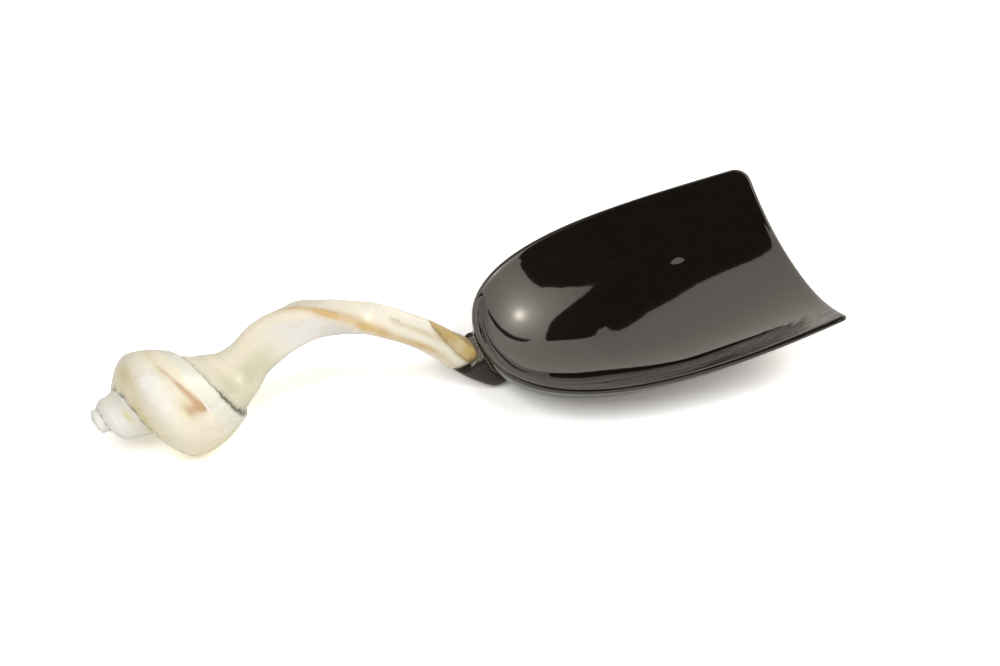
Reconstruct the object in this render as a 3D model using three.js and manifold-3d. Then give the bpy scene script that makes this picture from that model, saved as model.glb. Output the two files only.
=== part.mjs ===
// A serving spoon: a scoop pressed from black horn, with a handle cut from one sea-snail shell.
// Millimetres, +Z up. While it is built, X = 0 is the scoop's rear rim and +X points to its lip.
import * as THREE from 'three';
import Module from 'manifold-3d';

const wasm = await Module();
wasm.setup();

// Driving sizes of the scoop, measured on its outer surface
const SCOOP_LENGTH = 114;
const SCOOP_WIDTH = 97;
const SCOOP_DEPTH = 24.58; // below the rim, where the rounded rear end would run out
const SHOULDER_LENGTH = 75.7; // rear end to where the sides run straight
const SHOULDER_SQUARENESS = 2.48;
const SIDE_TAPER = 0.05; // share of the width lost between the shoulders and the lip
const TAPER_BEND = 1.5; // 1 for an even taper, more for one that gathers towards the lip
const REAR_RIM_HEIGHT = 17.63;
const RIM_RISE = 0.1153; // slope of the rim towards the lip
const RIM_UPSWEEP = 3.75; // extra rise at the lip
const FLOOR_START = 68.3; // rear end to there
const FLOOR_TURN = 41; // rear end to where the rounded end is left for the rise to the lip
const RISE_START = 47; // rear end to where the even rise would meet the table
const RISE_ROUNDING = 1.6; // how softly the one runs into the other
const LIP_DIP = 10.53; // the lip's middle below its corners
const WALL_SQUARENESS = 2.23;
const BELLY_SQUARENESS = 0.55; // added to it where the walls are steepest
const BELLY = { start: 45, full: 70, fade: 85 }; // where that begins, is all there, and starts to fade
const REAR_ROUNDNESS = 2.2;
const HORN_THICKNESS = 2.2;
const FAR_CORNER_RADIUS = 6;
const NEAR_CORNER_RADIUS = 2.5;

// Driving sizes of the heel, as stations from its thin rear end to where it dies out under the scoop.
// Each gives half the width, half the height, the height of the middle and the height of the lips.
const HEEL_STATIONS = [
  { x: -9.6, halfWidth: 4.6, halfHeight: 6.4, middle: 15.8, lip: 12.0 },
  { x: -7.6, halfWidth: 6.2, halfHeight: 9.4, middle: 17.0, lip: 11.0 },
  { x: -5.6, halfWidth: 6.9, halfHeight: 10.9, middle: 16.7, lip: 11.0 },
  { x: -4.2, halfWidth: 7.3, halfHeight: 11.5, middle: 16.2, lip: 13.2 },
  { x: -2.5, halfWidth: 7.8, halfHeight: 11.6, middle: 15.1, lip: 15.0 },
  { x: -0.5, halfWidth: 8.1, halfHeight: 11.6, middle: 13.8, lip: 15.7 },
  { x: 1.5, halfWidth: 8.2, halfHeight: 11.3, middle: 12.2, lip: 16.8 },
  { x: 4.0, halfWidth: 8.0, halfHeight: 10.3, middle: 10.1, lip: 17.3 },
  { x: 6.0, halfWidth: 7.4, halfHeight: 9.0, middle: 8.7, lip: 17.3 },
  { x: 8.2, halfWidth: 6.8, halfHeight: 8.2, middle: 8.6, lip: 17.3 },
  { x: 10.4, halfWidth: 6.0, halfHeight: 6.9, middle: 9.0, lip: 17.3 },
  { x: 12.6, halfWidth: 5.2, halfHeight: 5.8, middle: 9.4, lip: 17.3 },
  { x: 14.6, halfWidth: 4.2, halfHeight: 4.8, middle: 10.0, lip: 17.3 },
];
const HEEL_LIP_TILT = 0.14; // rise of the lips towards the far side

// Driving sizes of the shell's coiled head, along its own axis from the tip of the spire
const SPIRE_TILT = 9.05; // degrees that the axis rises towards the scoop
const SPIRE_TIP_X = -132.73;
const SPIRE_SIDE = 0.77; // how far the axis lies to the near side of the bar
// The seam between the coils, every half turn: distance along the axis, and radius
const SEAM = [
  { turn: -1, along: 0.5, radius: 0.7 },
  { turn: -0.5, along: 1.4, radius: 1.6 },
  { turn: 0, along: 2.96, radius: 2.34 },
  { turn: 0.5, along: 5.56, radius: 3.78 },
  { turn: 1, along: 9.75, radius: 7.67 },
  { turn: 1.5, along: 19.4, radius: 10.12 },
  { turn: 2, along: 30.65, radius: 14.13 },
  { turn: 2.5, along: 48.84, radius: 14.11 },
  { turn: 3, along: 51, radius: 6 },
];
// Fullest radius of the coil that starts at a seam's turn
const FULLEST = [
  { turn: -1, radius: 3.6 },
  { turn: -0.5, radius: 4.73 },
  { turn: 0, radius: 6.2 },
  { turn: 0.5, radius: 9.37 },
  { turn: 1, radius: 17.49 },
  { turn: 1.5, radius: 21.62 },
  { turn: 1.7, radius: 22.64 },
  { turn: 2, radius: 5.0 },
];
const FULLEST_AT = 0.393; // share of the way between two seams
const SHOULDER_BEND = 0.815; // how a coil rises from its seam: less is squarer
const BASE_BEND = 2; // how it falls to the next seam: more is squarer
const SEAM_START_ANGLE = 51; // degrees from the far side up to where a whole turn starts

// Driving sizes of the handle bar: it leaves the head as a wide trumpet and twists as it arches over.
// Each station gives its middle and its three rounded corners: the ridge, the back and the underside,
// each as degrees from straight up towards the near side, and how far the corner's centre stands out.
const BAR_STATIONS = [
  { x: -99.0, z: 17.4, ridge: [-25, 1.5], under: [105, 1.5], back: [-150, 1.5], round: 11.5 },
  { x: -93.6, z: 18.8, ridge: [-25, 1.8], under: [105, 1.8], back: [-150, 1.8], round: 12.4 },
  { x: -89.1, z: 21.2, ridge: [-24, 2.8], under: [110, 2.8], back: [-145, 2.8], round: 9.8 },
  { x: -84.3, z: 24.4, ridge: [-23, 4.0], under: [118, 3.8], back: [-140, 3.8], round: 6.2 },
  { x: -78.6, z: 30.2, ridge: [-22, 5.0], under: [126, 4.9], back: [-132, 4.8], round: 2.9 },
  { x: -73.2, z: 35.5, ridge: [-20, 5.7], under: [134, 5.5], back: [-115, 5.1], round: 2.4 },
  { x: -67.4, z: 39.2, ridge: [-13, 5.7], under: [146, 5.7], back: [-86, 5.9], round: 2.0 },
  { x: -60.4, z: 41.4, ridge: [9, 5.2], under: [154, 5.6], back: [-78, 6.9], round: 1.8 },
  { x: -53.0, z: 41.2, ridge: [38, 4.9], under: [165, 5.0], back: [-78, 6.0], round: 1.7 },
  { x: -45.6, z: 39.8, ridge: [75, 4.7], under: [178, 5.0], back: [-70, 4.9], round: 1.7 },
  { x: -41.7, z: 38.0, ridge: [90, 4.5], under: [191, 4.8], back: [-54, 4.6], round: 1.7 },
  { x: -37.3, z: 36.5, ridge: [106, 4.4], under: [213, 4.6], back: [-28, 4.4], round: 1.7 },
  { x: -33.4, z: 35.3, ridge: [125, 4.3], under: [242, 4.4], back: [0, 4.3], round: 1.7 },
  { x: -29.6, z: 33.6, ridge: [137, 4.3], under: [258, 4.3], back: [16, 4.3], round: 1.7 },
  { x: -21.0, z: 28.3, ridge: [143, 4.3], under: [263, 4.3], back: [23, 4.3], round: 1.8 },
  { x: -12.4, z: 21.2, ridge: [154, 4.3], under: [274, 4.3], back: [34, 4.3], round: 2.0 },
  { x: -6.9, z: 16.0, ridge: [170, 4.5], under: [294, 4.2], back: [54, 4.3], round: 2.3 },
];
const FLAT_CROWN = 0.25; // how far a face of the bar bulges at its middle
const BAR_END_DOME = 5.4; // length of the rounded end
const BAR_END_BLUNTNESS = 0.8; // 1 for a round end, less for a blunter one

// Driving sizes of the joint
const GLUE_BED = 0.3;
const SKIN_GAP = 0.1; // between a glued face and its bed of glue
const POCKET_HALF_WIDTH = 5.4; // of the opening between the bar's end and the scoop
const POCKET_LENGTH = 4.2;
const POCKET_FLOOR = 11.6;
const BEAD_DROP = 0.8; // top of the glue bead below the rear rim
const BEAD_RISE = 0.5; // top of the glue bead above the heel's lips
const PIN_RADIUS = 1.1;
const PIN_LENGTH = 13;
const PIN_TILT = 52; // degrees below level, towards the scoop
const PIN_FIT = 0.1;

const FIT = GLUE_BED + 2 * SKIN_GAP;
const RIM_RADIUS = HORN_THICKNESS / 2;

// Fineness of the faceted solids
const SIDE_STEPS = 22;
const LIP_STEPS = 6;
const CORNER_STEPS = 4;
const PLATE_RINGS = 11;
const HUB_SHARE = 0.85; // the plate's rings close round a point this share of the way to FLOOR_START
const FIRST_RING = 0.04;
const RING_BUNCHING = 0.85; // less crowds the rings towards the rim
const SPOKE_SAMPLES = 240;
const SAMPLE_BUNCHING = 2.4; // more crowds the samples towards the rim
const RIM_STEPS = 4;
const COIL_STEPS = 28;
const COIL_ROWS = 10;
const BAR_RINGS = 48;
const CORNER_FACETS = 4;
const FACE_FACETS = 3;
const END_STEPS = 6;
const END_CUT = 0.4; // steps left off at the middle of the rounded end
const HEEL_RINGS = 22;
const HEEL_STEPS = 24;
const PIN_STEPS = 12;
const SLIVER = 0.01; // cubic millimetres

const HORN_BLACK = new THREE.MeshStandardMaterial({ color: 0x0d0b0a, roughness: 0.12, metalness: 0 });
const HORN_BROWN = new THREE.MeshStandardMaterial({ color: 0x2a2522, roughness: 0.4, metalness: 0 });
const SHELL_CREAM = new THREE.MeshStandardMaterial({ color: 0xe9e2c8, roughness: 0.25, metalness: 0 });
const CLEAR_GLUE = new THREE.MeshStandardMaterial({ color: 0xcfc9b8, roughness: 0.1, metalness: 0 });
const STEEL = new THREE.MeshStandardMaterial({ color: 0x9a9a98, roughness: 0.35, metalness: 1 });

const clamp01 = (value) => Math.min(1, Math.max(0, value));
const smooth = (value) => {
  const t = clamp01(value);
  return t * t * (3 - 2 * t);
};

// The scoop's outer form: half width, rim height and depth at a distance from the rear rim
function halfWidth(x) {
  const t = 1 - Math.min(x / SHOULDER_LENGTH, 1);
  const round = (1 - t ** SHOULDER_SQUARENESS) ** (1 / SHOULDER_SQUARENESS);
  const along = clamp01((x - SHOULDER_LENGTH) / (SCOOP_LENGTH - SHOULDER_LENGTH));
  return (SCOOP_WIDTH / 2) * round * (1 - SIDE_TAPER * along ** TAPER_BEND);
}

function rimHeight(x) {
  return REAR_RIM_HEIGHT + RIM_RISE * x + RIM_UPSWEEP * (x / SCOOP_LENGTH) ** 2;
}

// The depth of the middle below the rim: a rounded rear end, then a floor that rises evenly to the lip
function hollowDepth(x) {
  const rear = Math.min(x, FLOOR_TURN);
  const t = 1 - clamp01(rear / FLOOR_START);
  const roundEnd = rimHeight(rear) - SCOOP_DEPTH * (1 - t ** REAR_ROUNDNESS) ** (1 / REAR_ROUNDNESS);
  const lipHeight = rimHeight(SCOOP_LENGTH) - LIP_DIP;
  const rise = (lipHeight * (x - RISE_START)) / (SCOOP_LENGTH - RISE_START);
  const floor = (roundEnd + rise + Math.hypot(roundEnd - rise, RISE_ROUNDING)) / 2;
  return Math.max(rimHeight(x) - floor, 0);
}

// How square a cross section's walls are
function wallSquareness(x) {
  const steep = smooth((x - BELLY.start) / (BELLY.full - BELLY.start));
  const fade = smooth((x - BELLY.fade) / (SCOOP_LENGTH - BELLY.fade));
  return WALL_SQUARENESS + BELLY_SQUARENESS * steep * (1 - fade);
}

function outerHeight(x, y) {
  const half = halfWidth(x);
  const across = half > 0 ? Math.min(Math.abs(y) / half, 1) : 1;
  return rimHeight(x) - hollowDepth(x) * (1 - across ** wallSquareness(x));
}

// One side of the scoop's outline in plan, from the rear middle round the lip's corner to the lip's middle
function outlineSide(cornerRadius) {
  const side = [];
  const straightEnd = SCOOP_LENGTH - cornerRadius;
  for (let i = 0; i <= SIDE_STEPS; i += 1) {
    const x = straightEnd * (1 - Math.cos((i / SIDE_STEPS) * (Math.PI / 2)));
    side.push([x, halfWidth(x)]);
  }
  const cornerY = halfWidth(straightEnd) - cornerRadius;
  for (let i = 1; i <= CORNER_STEPS; i += 1) {
    const angle = (i / CORNER_STEPS) * (Math.PI / 2);
    side.push([straightEnd + cornerRadius * Math.sin(angle), cornerY + cornerRadius * Math.cos(angle)]);
  }
  for (let i = 1; i <= LIP_STEPS; i += 1) side.push([SCOOP_LENGTH, cornerY * (1 - i / LIP_STEPS)]);
  return side;
}

// The whole outline as a closed loop, from the rear middle along the near side
function scoopOutline() {
  const near = outlineSide(NEAR_CORNER_RADIUS).map(([x, y]) => [x, -y]);
  const far = outlineSide(FAR_CORNER_RADIUS).slice(1, -1).reverse();
  return [...near, ...far];
}

// Points of the outer surface on spokes from the middle of the floor to the rim, evenly spaced on the
// surface, and the normal there that points into the hollow
function plateRings() {
  const outline = scoopOutline();
  const hub = new THREE.Vector3(FLOOR_START * HUB_SHARE, 0, 0);
  const spokes = outline.map(([edgeX, edgeY]) => {
    const line = [];
    for (let i = 0; i <= SPOKE_SAMPLES; i += 1) {
      const share = 1 - (1 - i / SPOKE_SAMPLES) ** SAMPLE_BUNCHING;
      const x = hub.x + (edgeX - hub.x) * share;
      const y = edgeY * share;
      line.push(new THREE.Vector3(x, y, outerHeight(x, y)));
    }
    const lengths = [0];
    for (let i = 1; i <= SPOKE_SAMPLES; i += 1) {
      lengths.push(lengths[i - 1] + line[i].distanceTo(line[i - 1]));
    }
    return { line, lengths };
  });
  const pick = ({ line, lengths }, distance) => {
    let i = 1;
    while (i < SPOKE_SAMPLES && lengths[i] < distance) i += 1;
    const t = (distance - lengths[i - 1]) / (lengths[i] - lengths[i - 1]);
    return line[i - 1].clone().lerp(line[i], t);
  };
  const rings = [];
  for (let k = 0; k <= PLATE_RINGS; k += 1) {
    const share = FIRST_RING + (1 - FIRST_RING) * (k / PLATE_RINGS) ** RING_BUNCHING;
    rings.push(spokes.map((spoke) => pick(spoke, share * (spoke.lengths[SPOKE_SAMPLES] - RIM_RADIUS))));
  }
  return rings;
}

function ringNormals(rings) {
  const count = rings[0].length;
  return rings.map((ring, k) => ring.map((point, j) => {
    const inner = rings[Math.max(k - 1, 0)][j];
    const outer = rings[Math.min(k + 1, rings.length - 1)][j];
    const before = ring[(j + count - 1) % count];
    const after = ring[(j + 1) % count];
    const outward = outer.clone().sub(inner);
    const around = after.clone().sub(before);
    return outward.cross(around).normalize();
  }));
}

const offsetRing = (ring, normals, distance) =>
  ring.map((point, j) => point.clone().addScaledVector(normals[j], distance));

const middleOf = (ring) =>
  ring.reduce((sum, point) => sum.add(point), new THREE.Vector3()).divideScalar(ring.length);

// A closed solid through a row of closed rings that all have as many points
function loft(rings) {
  const count = rings[0].length;
  const points = rings.flat();
  const triangles = [];
  for (let k = 0; k + 1 < rings.length; k += 1) {
    for (let j = 0; j < count; j += 1) {
      const next = (j + 1) % count;
      const a = k * count + j;
      const b = k * count + next;
      const c = (k + 1) * count + next;
      const d = (k + 1) * count + j;
      triangles.push([a, b, c], [a, c, d]);
    }
  }
  const first = points.push(middleOf(rings[0])) - 1;
  const last = points.push(middleOf(rings[rings.length - 1])) - 1;
  const top = (rings.length - 1) * count;
  for (let j = 0; j < count; j += 1) {
    const next = (j + 1) % count;
    triangles.push([first, next, j], [last, top + j, top + next]);
  }
  return solidOf(points, triangles);
}

// A solid from points and triangles, turned right side out
function solidOf(points, triangles) {
  let volume = 0;
  for (const [a, b, c] of triangles) {
    volume += points[a].dot(points[b].clone().cross(points[c]));
  }
  const faces = volume > 0 ? triangles : triangles.map(([a, b, c]) => [a, c, b]);
  const mesh = new wasm.Mesh({
    numProp: 3,
    vertProperties: Float32Array.from(points.flatMap((point) => [point.x, point.y, point.z])),
    triVerts: Uint32Array.from(faces.flat()),
  });
  return new wasm.Manifold(mesh);
}

// The direction at each point of a rim ring that carries the plate on past it
function rimDirections(ring, normals) {
  const count = ring.length;
  return ring.map((point, j) => {
    const around = ring[(j + 1) % count].clone().sub(ring[(j + count - 1) % count]);
    return around.cross(normals[j]).normalize();
  });
}

// The scoop: a plate of even thickness with a fully rounded rim
function scoopSolid() {
  const outer = plateRings();
  const normals = ringNormals(outer);
  const rim = outer[PLATE_RINGS];
  const outward = rimDirections(rim, normals[PLATE_RINGS]);
  const rings = [...outer];
  for (let i = 1; i < RIM_STEPS; i += 1) {
    const angle = (i / RIM_STEPS) * Math.PI;
    rings.push(rim.map((point, j) => point.clone()
      .addScaledVector(normals[PLATE_RINGS][j], RIM_RADIUS * (1 - Math.cos(angle)))
      .addScaledVector(outward[j], RIM_RADIUS * Math.sin(angle))));
  }
  for (let k = PLATE_RINGS; k >= 0; k -= 1) rings.push(offsetRing(outer[k], normals[k], HORN_THICKNESS));
  return loft(rings);
}

// What the scoop takes up with a gap all round its outside, used to cut what is glued to it
function scoopCutter(gap) {
  const outer = plateRings();
  const normals = ringNormals(outer);
  const rings = outer.map((ring, k) => offsetRing(ring, normals[k], -gap));
  const outward = rimDirections(outer[PLATE_RINGS], normals[PLATE_RINGS]);
  rings.push(offsetRing(rings[PLATE_RINGS], outward, 2 * HORN_THICKNESS));
  return loft(rings);
}

// The shell's own frame: along the axis, up across it, and towards the far side
const spireAxis = new THREE.Vector3(
  Math.cos(THREE.MathUtils.degToRad(SPIRE_TILT)), 0, Math.sin(THREE.MathUtils.degToRad(SPIRE_TILT)),
);
const spireUp = new THREE.Vector3(-spireAxis.z, 0, spireAxis.x);
const farSide = new THREE.Vector3(0, 1, 0);

// A smooth value between stations, by a curve through them
function between(stations, key, position, name) {
  let i = 0;
  while (i < stations.length - 2 && position > stations[i + 1][key]) i += 1;
  const at = (k) => stations[Math.min(Math.max(k, 0), stations.length - 1)];
  const span = at(i + 1)[key] - at(i)[key];
  const t = clamp01((position - at(i)[key]) / span);
  const slope = (k) => {
    const run = at(k + 1)[key] - at(k - 1)[key];
    return run > 0 ? (at(k + 1)[name] - at(k - 1)[name]) / run : 0;
  };
  const a = at(i)[name];
  const b = at(i + 1)[name];
  const h = t * t * (3 - 2 * t);
  return a + (b - a) * h
    + span * (slope(i) * t * (1 - t) ** 2 - slope(i + 1) * t * t * (1 - t));
}

// A point on the coils: turns from the tip along the seam, and share of the way to the next seam
function coilPoint(turn, share) {
  const start = between(SEAM, 'turn', turn, 'along');
  const end = between(SEAM, 'turn', turn + 1, 'along');
  const r0 = between(SEAM, 'turn', turn, 'radius');
  const r1 = between(SEAM, 'turn', turn + 1, 'radius');
  const full = between(FULLEST, 'turn', turn, 'radius');
  let radius;
  if (share < FULLEST_AT) {
    radius = r0 + (full - r0) * Math.sin((share / FULLEST_AT) * (Math.PI / 2)) ** SHOULDER_BEND;
  } else {
    radius = full - (full - r1) * ((share - FULLEST_AT) / (1 - FULLEST_AT)) ** BASE_BEND;
  }
  const angle = THREE.MathUtils.degToRad(SEAM_START_ANGLE) + turn * 2 * Math.PI;
  return new THREE.Vector3()
    .addScaledVector(spireAxis, start + (end - start) * share)
    .addScaledVector(farSide, radius * Math.cos(angle))
    .addScaledVector(spireUp, radius * Math.sin(angle));
}

// The coiled head: one strip wound round the axis, each row's end joined to the row a whole turn on
function coilSolid() {
  const firstTurn = SEAM[0].turn;
  const wraps = FULLEST[FULLEST.length - 1].turn - firstTurn;
  const rows = wraps * COIL_ROWS;
  const points = [];
  const index = new Map();
  const pointAt = (k, j) => {
    if (j === COIL_STEPS && k + COIL_ROWS <= rows) return pointAt(k + COIL_ROWS, 0);
    const key = `${k},${j}`;
    if (!index.has(key)) {
      const wrap = Math.min(Math.floor(k / COIL_ROWS), wraps - 1);
      const point = coilPoint(firstTurn + wrap + j / COIL_STEPS, k / COIL_ROWS - wrap);
      index.set(key, points.push(point) - 1);
    }
    return index.get(key);
  };
  const triangles = [];
  for (let k = 0; k < rows; k += 1) {
    for (let j = 0; j < COIL_STEPS; j += 1) {
      const a = pointAt(k, j);
      const b = pointAt(k, j + 1);
      const c = pointAt(k + 1, j + 1);
      const d = pointAt(k + 1, j);
      triangles.push([a, b, c], [a, c, d]);
    }
  }
  return closeLoops(points, triangles);
}

// Closes each open edge loop with a fan to its middle
function closeLoops(points, triangles) {
  const open = new Map();
  const edges = new Set(triangles.flatMap(([a, b, c]) => [`${a},${b}`, `${b},${c}`, `${c},${a}`]));
  for (const edge of edges) {
    const [a, b] = edge.split(',').map(Number);
    if (!edges.has(`${b},${a}`)) open.set(b, a);
  }
  while (open.size > 0) {
    const loop = [open.keys().next().value];
    while (open.has(loop[loop.length - 1])) {
      const from = loop[loop.length - 1];
      loop.push(open.get(from));
      open.delete(from);
    }
    loop.pop();
    const middle = points.push(middleOf(loop.map((i) => points[i]))) - 1;
    loop.forEach((from, i) => triangles.push([from, loop[(i + 1) % loop.length], middle]));
  }
  return solidOf(points, triangles);
}

// The coils touch the table, which settles how high the tip of the spire lies
const looseCoils = coilSolid();
const spireTip = new THREE.Vector3(SPIRE_TIP_X, -SPIRE_SIDE, -looseCoils.boundingBox().min[2]);
const coils = looseCoils.translate([spireTip.x, spireTip.y, spireTip.z]);

// A section of the bar: the outline round three circles, as offsets up and to the near side
function barSection(corners, grow) {
  const circles = corners.map(({ angle, reach, round }) => ({
    up: reach * Math.cos(THREE.MathUtils.degToRad(angle)),
    near: reach * Math.sin(THREE.MathUtils.degToRad(angle)),
    round: round + grow,
  }));
  const outline = [];
  const sides = circles.map((circle, i) => sideNormal(circle, circles[(i + 1) % 3]));
  const touch = (circle, angle) => [
    circle.up + circle.round * Math.cos(angle),
    circle.near + circle.round * Math.sin(angle),
  ];
  for (let i = 0; i < 3; i += 1) {
    const arrive = sides[(i + 2) % 3];
    const leave = sides[i];
    const sweep = THREE.MathUtils.euclideanModulo(leave - arrive, 2 * Math.PI);
    for (let k = 0; k <= CORNER_FACETS; k += 1) {
      outline.push(touch(circles[i], arrive + (sweep * k) / CORNER_FACETS));
    }
    const start = touch(circles[i], leave);
    const end = touch(circles[(i + 1) % 3], leave);
    for (let k = 1; k < FACE_FACETS; k += 1) {
      const t = k / FACE_FACETS;
      const bulge = FLAT_CROWN * 4 * t * (1 - t);
      outline.push([
        start[0] + (end[0] - start[0]) * t + bulge * Math.cos(leave),
        start[1] + (end[1] - start[1]) * t + bulge * Math.sin(leave),
      ]);
    }
  }
  return outline;
}

// The direction square to the line that touches two circles on their outer side
function sideNormal(from, to) {
  const up = to.up - from.up;
  const near = to.near - from.near;
  const length = Math.hypot(up, near);
  return Math.atan2(near, up) - Math.PI / 2 - Math.asin((to.round - from.round) / length);
}

const barPath = new THREE.CatmullRomCurve3(
  BAR_STATIONS.map((station) => new THREE.Vector3(station.x, 0, station.z)), false, 'centripetal',
);

// The handle bar, with its rounded end, all of it larger by a margin
function barSolid(grow) {
  const rings = [];
  const place = (centre, tangent, outline, scale) => {
    const up = new THREE.Vector3(-tangent.z, 0, tangent.x);
    return outline.map(([rise, near]) => centre.clone()
      .addScaledVector(up, rise * scale)
      .addScaledVector(farSide, -near * scale));
  };
  const stations = BAR_STATIONS.map((station, i) => ({
    i,
    round: station.round,
    ridge: station.ridge[0],
    ridgeReach: station.ridge[1],
    under: station.under[0],
    underReach: station.under[1],
    back: station.back[0] + 360,
    backReach: station.back[1],
  }));
  const cornersAt = (t) => {
    const position = t * (BAR_STATIONS.length - 1);
    const value = (name) => between(stations, 'i', position, name);
    return ['ridge', 'under', 'back'].map((name) => ({
      angle: value(name), reach: value(`${name}Reach`), round: value('round'),
    }));
  };
  for (let i = 0; i <= BAR_RINGS; i += 1) {
    const t = i / BAR_RINGS;
    rings.push(place(barPath.getPoint(t), barPath.getTangent(t), barSection(cornersAt(t), grow), 1));
  }
  const end = barPath.getPoint(1);
  const tangent = barPath.getTangent(1);
  const outline = barSection(cornersAt(1), grow);
  for (let i = 1; i <= END_STEPS; i += 1) {
    const angle = (i / (END_STEPS + END_CUT)) * (Math.PI / 2);
    const centre = end.clone().addScaledVector(tangent, (BAR_END_DOME + grow) * Math.sin(angle));
    rings.push(place(centre, tangent, outline, Math.cos(angle) ** BAR_END_BLUNTNESS));
  }
  return loft(rings);
}

const heelAt = (name, x) => between(HEEL_STATIONS, 'x', x, name);
const heelLength = HEEL_STATIONS[HEEL_STATIONS.length - 1].x - HEEL_STATIONS[0].x;
const heelReach = SCOOP_DEPTH; // further than the heel goes in any direction

// All that lies more than a margin above the heel's lips
function overLips(margin) {
  const corners = [[-heelReach, 0], [-heelReach, heelReach], [heelReach, heelReach], [heelReach, 0]];
  const rings = [];
  for (let k = -1; k <= HEEL_RINGS + 1; k += 1) {
    const x = HEEL_STATIONS[0].x + (heelLength * k) / HEEL_RINGS;
    const lip = heelAt('lip', x) + margin;
    rings.push(corners.map(([y, rise]) => new THREE.Vector3(x, y, lip + HEEL_LIP_TILT * y + rise)));
  }
  return loft(rings);
}

// The heel's block before it is cut for the scoop and the bar, with a flat to stand on
function heelBlock() {
  const rings = [];
  for (let k = 0; k <= HEEL_RINGS; k += 1) {
    const x = HEEL_STATIONS[0].x + (heelLength * k) / HEEL_RINGS;
    const ring = [];
    for (let j = 0; j < HEEL_STEPS; j += 1) {
      const angle = ((j + 0.5) / HEEL_STEPS) * 2 * Math.PI;
      const z = heelAt('middle', x) - heelAt('halfHeight', x) * Math.cos(angle);
      ring.push(new THREE.Vector3(x, heelAt('halfWidth', x) * Math.sin(angle), z));
    }
    rings.push(ring);
  }
  const underTable = blockSolid([-heelReach, -heelReach, -heelReach], [heelReach, heelReach, 0]);
  return loft(rings).subtract(overLips(0)).subtract(underTable);
}

// The pin across the joint, from inside the bar's end down into the heel
function pinSolid(grow) {
  const tilt = THREE.MathUtils.degToRad(PIN_TILT);
  const axis = new THREE.Vector3(Math.cos(tilt), 0, -Math.sin(tilt));
  const side = new THREE.Vector3(Math.sin(tilt), 0, Math.cos(tilt));
  const end = barPath.getPoint(1);
  const ring = (distance) => {
    const points = [];
    for (let j = 0; j < PIN_STEPS; j += 1) {
      const angle = (j / PIN_STEPS) * 2 * Math.PI;
      points.push(end.clone()
        .addScaledVector(axis, distance)
        .addScaledVector(side, (PIN_RADIUS + grow) * Math.cos(angle))
        .addScaledVector(farSide, (PIN_RADIUS + grow) * Math.sin(angle)));
    }
    return points;
  };
  return loft([ring(-grow), ring(PIN_LENGTH + grow)]);
}

// A plain block between two corners
function blockSolid(low, high) {
  const ring = (z) => [
    new THREE.Vector3(low[0], low[1], z),
    new THREE.Vector3(high[0], low[1], z),
    new THREE.Vector3(high[0], high[1], z),
    new THREE.Vector3(low[0], high[1], z),
  ];
  return loft([ring(low[2]), ring(high[2])]);
}

// The body that a cut leaves, without the slivers beside it
function mainBody(solid) {
  const bodies = solid.decompose().sort((a, b) => b.volume() - a.volume());
  if (bodies.length > 1 && bodies[1].volume() > SLIVER) throw new Error('a cut splits a piece in two');
  return bodies[0];
}

const beadTop = REAR_RIM_HEIGHT - BEAD_DROP;
const pocket = (grow) => blockSolid(
  [-POCKET_LENGTH - grow, -POCKET_HALF_WIDTH - grow, POCKET_FLOOR - grow],
  [HORN_THICKNESS, POCKET_HALF_WIDTH + grow, beadTop + (grow > 0 ? REAR_RIM_HEIGHT : 0)],
);

const bar = barSolid(0);
const pinHole = pinSolid(PIN_FIT);
const heel = heelBlock();

const scoop = scoopSolid();
const shell = coils.add(bar).subtract(pinHole);
const cradle = heel
  .subtract(scoopCutter(FIT))
  .subtract(barSolid(FIT))
  .subtract(pocket(SKIN_GAP))
  .subtract(pinHole);
const cradleBed = heel
  .intersect(scoopCutter(GLUE_BED + SKIN_GAP))
  .subtract(scoopCutter(SKIN_GAP))
  .subtract(barSolid(FIT))
  .subtract(pocket(SKIN_GAP));
const strapBed = heel
  .intersect(barSolid(GLUE_BED + SKIN_GAP))
  .subtract(barSolid(SKIN_GAP))
  .subtract(scoopCutter(FIT))
  .subtract(pocket(SKIN_GAP))
  .subtract(pinHole);
const bead = pocket(0)
  .subtract(overLips(BEAD_RISE))
  .subtract(barSolid(SKIN_GAP))
  .subtract(scoopCutter(SKIN_GAP))
  .subtract(pinHole);

const part = new THREE.Group();

function addPiece(name, solid, material) {
  const { vertProperties, triVerts } = mainBody(solid).getMesh();
  const geometry = new THREE.BufferGeometry();
  geometry.setAttribute('position', new THREE.BufferAttribute(vertProperties, 3));
  geometry.setIndex(new THREE.BufferAttribute(triVerts, 1));
  const mesh = new THREE.Mesh(geometry, material);
  mesh.name = name;
  part.add(mesh);
}

addPiece('scoop_bowl', scoop, HORN_BLACK);
addPiece('handle_cradle', cradle, HORN_BROWN);
addPiece('shell_handle', shell, SHELL_CREAM);
addPiece('glue_bead', bead, CLEAR_GLUE);
addPiece('cradle_glue_bed', cradleBed, CLEAR_GLUE);
addPiece('strap_glue_bed', strapBed, CLEAR_GLUE);
addPiece('strap_pin', pinSolid(0), STEEL);

// The part's origin is the middle of its length and width, on the table
const box = new THREE.Box3().setFromObject(part);
part.position.set(-(box.min.x + box.max.x) / 2, -(box.min.y + box.max.y) / 2, -box.min.z);

export default part;
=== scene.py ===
"""Rice spoon of black horn and sea shell: finished surfaces, light and camera round its CAD frame."""

import math

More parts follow.
